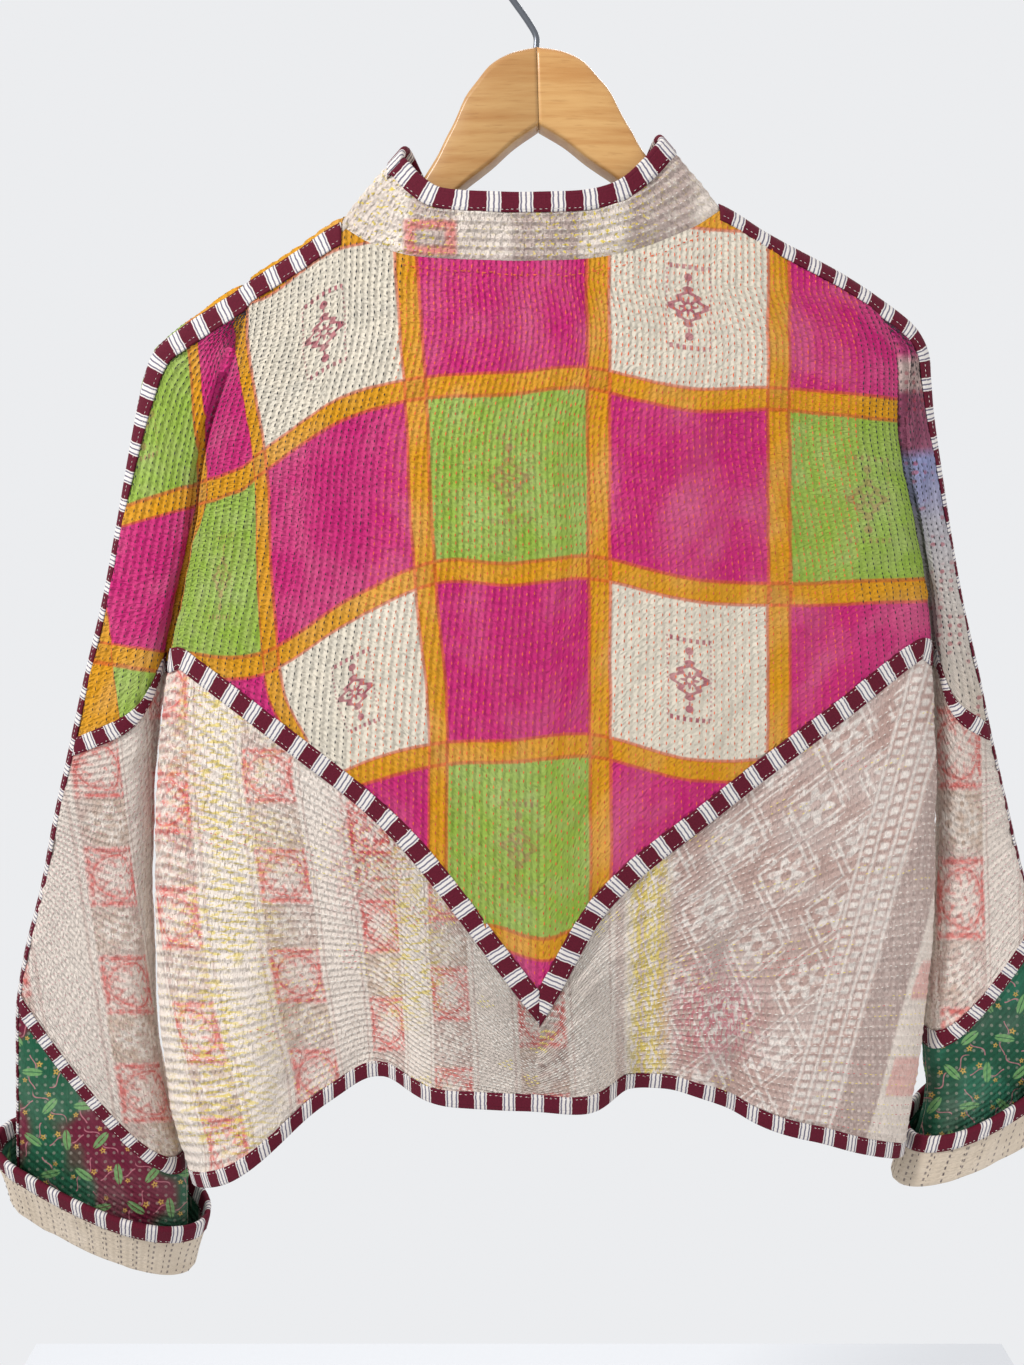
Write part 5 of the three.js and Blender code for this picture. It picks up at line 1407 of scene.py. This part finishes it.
STITCH_INSET = 1.7
STRIP_LINES = (STITCH_INSET, 2 * STRIP_HALF - STITCH_INSET)
STRIP_MIDDLE = len(STRIP_STEPS) // 2


def cover_seam(node, stretches):
    """Sews a strip over a seam: each stretch holds its points and its centre line."""
    sew_strip(node, [(points, facing(points)) for points, centre in stretches],
              [along_map(centre, points) for points, centre in stretches], STRIP_STEPS, STRIP_LINES)


def with_centre(points):
    """A strip's points and its centre line."""
    return points, points[:, STRIP_MIDDLE]


def body_strip(across_line, tip_x, wall):
    """Strip over the zigzag seam of the body, cut square along the seam and mitred at the V's tip,
    and its centre line. wall gives the cloth's point at each x and z."""
    z = zigzag_z(across_line)
    x = body_x(across_line, z)
    line = np.column_stack([x, z])
    tangent = np.gradient(line, axis=0)
    tangent /= np.linalg.norm(tangent, axis=1, keepdims=True)
    tangent *= np.sign(tangent[:, :1])
    out = np.column_stack([tangent[:, 1], -tangent[:, 0]])
    spots = line[:, None] + out[:, None] * (STRIP_STEPS * STRIP_HALF)[None, :, None]
    if tip_x is not None:
        before = np.sign(x.mean() - tip_x)
        beyond = np.where((spots[..., 0] - tip_x) * before < 0, tip_x - spots[..., 0], 0)
        at_tip = np.zeros_like(beyond, bool)
        at_tip[0 if before > 0 else -1] = True
        beyond = np.where(at_tip, tip_x - spots[..., 0], beyond)
        spots = spots + tangent[:, None] * (beyond / tangent[:, :1])[..., None]
    return wall(spots[..., 0], spots[..., 1]), wall(x[:, None], z[:, None])[:, 0]


def back_surface(x, z):
    """The creased back's point at each x and z."""
    points = body_point("back", x, z)
    if points.shape[1] < 2:
        return points
    return points + facing(points) * creased(points, BACK_CREASES)[..., None]


TIP_X = float(body_x(ZIGZAG_TIP, zigzag_z(ZIGZAG_TIP)))
LEG_STATIONS, SHOULDER_STATIONS = 150, 34
legs = [np.linspace(*ends, LEG_STATIONS) for ends in ((-1, ZIGZAG_TIP), (ZIGZAG_TIP, 1))]
cover_seam("back_zigzag_strip", [body_strip(leg, TIP_X, back_surface) for leg in legs])

for name, side in SIDES.items():
    # the shoulder, from the collar to the top of the side fold, and on down the sleeve's fold
    neck = float(across_at(side["neck"], ridge_z(side["neck"])))
    across = lerp(neck, side["sign"], np.linspace(0, 1, SHOULDER_STATIONS))
    top_x = body_x(across, side["shoulder_z"])[:, None]
    offsets = STRIP_STEPS * STRIP_HALF
    shoulder = ridge_point("back", top_x, side["seam"][0] + offsets)
    lines = sleeve_lines(side, "back", side_heights("back", side), offsets, SLEEVE_ACROSS[:2])[0]
    overarm = refine(lines[:, :len(STRIP_STEPS)], UPPER_COUNTS + LOWER_COUNTS)[:SLEEVE_ROW["fold"] + 4]
    cover_seam(f"overarm_strip_{name}", [with_centre(np.concatenate([shoulder[:-1], overarm[2:]]))])

    # the front's share of the zigzag
    seam = FRONTS[name][0][FRONT_SEAM]
    strip = body_strip(across_at(seam[:, 0], seam[:, 2]), None, partial(body_point, "front"))
    cover_seam(f"front_zigzag_strip_{name}", [strip])


def along_columns(grid, row, offsets):
    """Points of each column of a grid at given lengths beyond one of its rows, one station a column."""
    stations = []
    for column in range(grid.shape[1]):
        line = grid[:, column]
        run = summed(gaps(line))
        stations.append(np.column_stack([np.interp(run[row] + offsets, run, line[:, k]) for k in range(3)]))
    return np.array(stations)


def across_row(grid, row):
    """Band of stations along a grid's row, reaching a strip's half width to both sides of it."""
    return along_columns(grid, SLEEVE_ROW[row], STRIP_STEPS * STRIP_HALF)


for name in SIDES:
    for face, first in (("back", len(BACK_BAND) - 1), ("front", 4)):
        points = across_row(SLEEVES[name, face]["whole"][:, first:], "zigzag")
        cover_seam(f"sleeve_zigzag_strip_{face}_{name}", [with_centre(points)])
    rings = [across_row(SLEEVES[name, face]["whole"][:, 3:], "second") for face in OUTWARD]
    cover_seam(f"sleeve_second_strip_{name}", [with_centre(rings[0]), with_centre(rings[1][::-1])])

# Bindings: the same striped cotton folded over the edges of the hem, the fronts, the collar and
# the cuffs, and sewn down 12 mm in.
BINDING_OUTSIDE, BINDING_TURN = 5, 7


# rows at the end of a grid that reach past its binding
HEM_ROWS, CUFF_ROWS = 60, 12


def inset_line(grid):
    """The line where a binding is sewn, a binding's width back from the last row of a grid, and that
    last row."""
    return along_columns(grid, -1, np.array([-EDGE_BINDING]))[:, 0], grid[-1]


def bound_edge(inner, edge, normals):
    """The binding's fold: along the outside, round the edge, and back along the inside."""
    out = edge - inner
    out /= np.linalg.norm(out, axis=1, keepdims=True)
    rows, faces, places = [], [], []
    for u in np.linspace(0, 1, BINDING_OUTSIDE)[:-1]:
        rows.append(lerp(inner, edge, u) + normals * STRIP_OUT)
        faces.append(normals)
        places.append(2 * u - 1)
    for angle in np.linspace(0, np.pi, BINDING_TURN):
        round_edge = normals * np.cos(angle) + out * np.sin(angle)
        rows.append(edge + round_edge * STRIP_OUT)
        faces.append(round_edge)
        places.append(1.0)
    for u in np.linspace(1, 0, BINDING_OUTSIDE)[1:]:
        rows.append(lerp(inner, edge, u) - normals * STRIP_OUT)
        faces.append(-normals)
        places.append(2 * u - 1)
    return np.stack(rows, 1), np.stack(faces, 1), np.array(places)


def sew_binding(node, inner, edge, normals, ring=False):
    """Folds a binding over an edge, from its sewn line on one side to that on the other."""
    if ring:
        inner, edge, normals = (np.concatenate([part, part[:1]]) for part in (inner, edge, normals))
    points, faces, places = bound_edge(inner, edge, normals)
    along = np.broadcast_to(summed(gaps(edge))[:, None], points.shape[:2])
    width = float(gaps(points, 1).sum(axis=1).mean())
    sew_strip(node, [(points, faces)], [along], places, (STITCH_INSET, width - STITCH_INSET), 0)


hems, edges, hem_faces = [], [], []
for grid, backwards in ((FRONTS["left"][0], True), (back, False), (FRONTS["right"][0], False)):
    inner, edge = inset_line(grid[-HEM_ROWS:])
    faces = facing(grid)[-1]
    step = slice(None, None, -1) if backwards else slice(None)
    hems.append(inner[step])
    edges.append(edge[step])
    hem_faces.append(faces[step])
sew_binding("hem_binding", np.concatenate(hems), np.concatenate(edges), np.concatenate(hem_faces))
inner, edge = inset_line(collar[::-1])
sew_binding("collar_binding", inner, edge, collar_normals[0])
for name in SIDES:
    front = FRONTS[name][0]
    inner, edge = inset_line(np.swapaxes(front, 0, 1))
    faces = facing(front)[:, -1]
    rim = collar[:, ::-1] if name == "left" else collar
    rim_inner, rim_edge = inset_line(np.swapaxes(rim, 0, 1))
    rim_faces = facing(rim)[:, -1]
    joined = [np.concatenate([low[::-1], high[::-1]])
              for low, high in ((inner, rim_inner), (edge, rim_edge), (faces, rim_faces))]
    sew_binding(f"front_edge_binding_{name}", *joined)
    rings = []
    for face in OUTWARD:
        whole = SLEEVES[name, face]["whole"]
        rings.append((*inset_line(whole[-CUFF_ROWS:]), SLEEVES[name, face]["normals"][-1]))
    joined = [np.concatenate([a, b[::-1]]) for a, b in zip(*rings)]
    sew_binding(f"cuff_binding_{name}", *joined, ring=True)

# Hanger: two contoured arms of honey-coloured wood that meet at a glued joint under the hook.
ARM_THICKNESS, ARM_ROUND = 19, 6
ARM_SECTIONS = [(0.15, -75, -122), (17, -78, -132), (30, -84, -142), (39, -93, -148), (47, -102, -153),
                (54, -115, -158), (61, -126, -163), (67, -136, -167), (85, -158, -178), (110, -177, -195),
                (140, -191, -210), (175, -203.6, -229), (190, -209.8, -238), (200, -214.6, -245),
                (209, -220.5, -246), (214, -227, -240)]
HANGER_TILT = math.radians(2)


def tube(name, rings):
    """Closed solid through rings of points, flat at both ends."""
    stations, around = rings.shape[:2]
    ids = np.arange(stations * around).reshape(stations, around)
    following = np.roll(ids, -1, axis=1)
    sides = np.stack([ids[:-1], following[:-1], following[1:], ids[1:]], -1).reshape(-1, 4)
    k = np.arange(around // 2 - 1)
    cap = np.column_stack([k, k + 1, around - 2 - k, around - 1 - k])
    quads = np.concatenate([sides, cap[:, ::-1], cap + (stations - 1) * around])
    points = rings.reshape(-1, 3)
    a, b, c, d = (points[quads[:, i]] for i in range(4))
    volume = (np.cross(b - a, c - a) * a).sum() + (np.cross(c - a, d - a) * a).sum()
    return make_mesh(name, points, quads if volume > 0 else quads[:, ::-1], {})


def rounded(half, top, bottom, steps=5):
    """Outline of an arm's section as (y, z): round at the top edges, tighter at the lower ones."""
    high = min(ARM_ROUND, (top - bottom) / 2.6)
    corners = [(half, top, high, 0), (half, bottom, high / 2, -90), (-half, bottom, high / 2, -180),
               (-half, top, high, -270)]
    outline = []
    for y, z, r, start in corners:
        centre = (y - math.copysign(r, y), z - r if z == top else z + r)
        for angle in np.radians(np.linspace(start + 90, start, steps)):
            outline.append((centre[0] + r * math.cos(angle), centre[1] + r * math.sin(angle)))
    return np.array(outline)


WOOD_DARK, WOOD_LIGHT, WOOD_VEIN = (0.62, 0.29, 0.085), (0.8, 0.46, 0.17), (0.4, 0.16, 0.04)


def wood(name, deep):
    """Honey-coloured wood: long uneven grain under a thin satin varnish. deep scales all its colours: it
    sets the wood's darker tone, and it is lower for the left arm as painted shade, so the two arms are a
    lighter and a darker copy of one wood.
    """
    f = Finish(name)
    dark, light, vein = (tuple(part * deep for part in colour)
                         for colour in (WOOD_DARK, WOOD_LIGHT, WOOD_VEIN))
    at = f.of_object()
    grain = f.noise(f.node("ShaderNodeMapping", {}, {0: at, 3: (9.0, 60.0, 130.0)}), 1.0, 5.0, 0.6)
    fine = f.noise(f.node("ShaderNodeMapping", {}, {0: at, 3: (60.0, 500.0, 900.0)}), 1.0, 2.0)
    colour = f.mix(fine.rise(0.55, 0.75) * 0.3, f.mix(grain.rise(0.3, 0.72), dark, light), vein)
    f.shader.inputs["Coat Weight"].default_value = 0.35
    f.shader.inputs["Coat Roughness"].default_value = 0.25
    return f.finish(colour, 0.45)


arm_x = np.unique(np.concatenate([np.linspace(0.15, 209, 90), np.linspace(209, 214, 6)]))
arm_top = curve([(x, top) for x, top, bottom in ARM_SECTIONS])(arm_x)
arm_bottom = curve([(x, bottom) for x, top, bottom in ARM_SECTIONS])(arm_x)
# deep darkens both arms to the wood's tone, and the left arm further as painted shade: one wood in a lighter
# and a darker copy
for sign, name, deep in ((-1, "left", 0.62), (1, "right", 0.78)):
    rings = []
    for x, top, bottom in zip(arm_x, arm_top, arm_bottom):
        outline = rounded(ARM_THICKNESS / 2, top, bottom)
        y = middle_y(x) + outline[:, 0]
        x_tilted = sign * x * math.cos(HANGER_TILT) - outline[:, 1] * math.sin(HANGER_TILT)
        z_tilted = sign * x * math.sin(HANGER_TILT) + outline[:, 1] * math.cos(HANGER_TILT)
        rings.append(np.column_stack([x_tilted, y, z_tilted]))
    arm = tube(f"hanger_wood_{name}", np.array(rings))
    hold(arm, f"hanger_arm_{name}", [wood(f"honey_wood_painted_shade_{name}", deep)])

# Hook: dark steel wire that rises from the joint and bends over, open to the right.
WIRE, HOOK_RADIUS = 4, 24
WIRE_STATIONS, WIRE_SIDES = 160, 24
# the stem as (x, z), then the bend as angles round its middle
STEM = [(2.6, -75.2), (2.6, -67), (-2, -59)]
turns = np.radians(np.arange(215, -36, -25))
route = np.array(STEM
                 + [(HOOK_RADIUS * math.cos(a), WIRE / 2 - HOOK_RADIUS * (1 - math.sin(a))) for a in turns])
run, route_x, route_z = path_of(route)
length = np.linspace(0, run[-1], WIRE_STATIONS)
path = np.column_stack([route_x(length), route_z(length)])
ahead = np.gradient(path, axis=0)
ahead /= np.linalg.norm(ahead, axis=1, keepdims=True)
angles = np.linspace(0, 2 * np.pi, WIRE_SIDES, endpoint=False)
radius = WIRE / 2 * np.minimum(1, np.sqrt(np.clip(1 - (1 - (run[-1] - length) / WIRE * 2) ** 2, 0.02, 1)))
radius = np.where(run[-1] - length > WIRE / 2, WIRE / 2, radius)[:, None]
rings = np.stack([path[:, :1] + ahead[:, 1:] * np.cos(angles) * radius,
                  np.sin(angles) * radius, path[:, 1:] - ahead[:, :1] * np.cos(angles) * radius], -1)
steel = Finish("dark_steel")
scratches = steel.noise(steel.of_object(), 400.0, 2.0)
steel.shader.inputs["Metallic"].default_value = 1.0
hook_wire = tube("hook_wire", rings)
hold(hook_wire, "hanger_hook", [steel.finish((0.16, 0.17, 0.19), scratches * 0.15 + 0.25)])

# A pale room: a floor far below the jacket, even light from the sky, and three soft lamps.
FLOOR_Z = -1.9
bpy.ops.mesh.primitive_plane_add(size=1.8, location=(0, 0, FLOOR_Z))
floor = bpy.context.object
floor.name = "floor"
pale = Finish("pale_floor")
floor.data.materials.append(pale.finish((0.72, 0.73, 0.75), 0.7))
world = bpy.context.scene.world or bpy.data.worlds.new("sky")
bpy.context.scene.world = world
world.use_nodes = True
world.node_tree.nodes["Background"].inputs["Color"].default_value = (0.93, 0.94, 0.96, 1)
world.node_tree.nodes["Background"].inputs["Strength"].default_value = 0.9
bpy.context.scene.view_settings.view_transform = "Standard"


# metres from the hook down to the middle of the jacket
JACKET_DEPTH = 0.45


def lamp(name, place, size, power):
    """Soft square lamp that looks at the jacket."""
    light = bpy.data.lights.new(name, "AREA")
    light.size, light.energy = size, power
    thing = bpy.data.objects.new(name, light)
    bpy.context.scene.collection.objects.link(thing)
    thing.location = place
    x, y, z = place[0], place[1], place[2] + JACKET_DEPTH
    thing.rotation_euler = (math.atan2(math.hypot(x, y), z), 0, math.atan2(-x, y) + math.pi)


lamp("key", (-1.6, -1.05, 1.05), 0.3, 44)
lamp("side", (1.7, -0.9, -0.6), 0.8, 5)
lamp("behind", (0.4, 1.7, 0.8), 1.0, 18)
camera = bpy.data.objects.new("camera", bpy.data.cameras.new("camera"))
bpy.context.scene.collection.objects.link(camera)
camera.location = CAMERA * MM
camera.rotation_euler = (math.pi / 2 - PITCH, 0, 0)
camera.data.sensor_fit = "VERTICAL"
camera.data.sensor_height = 36
camera.data.lens = FOCAL_PIXELS / FRAME_PIXELS[1] * 36
bpy.context.scene.camera = camera
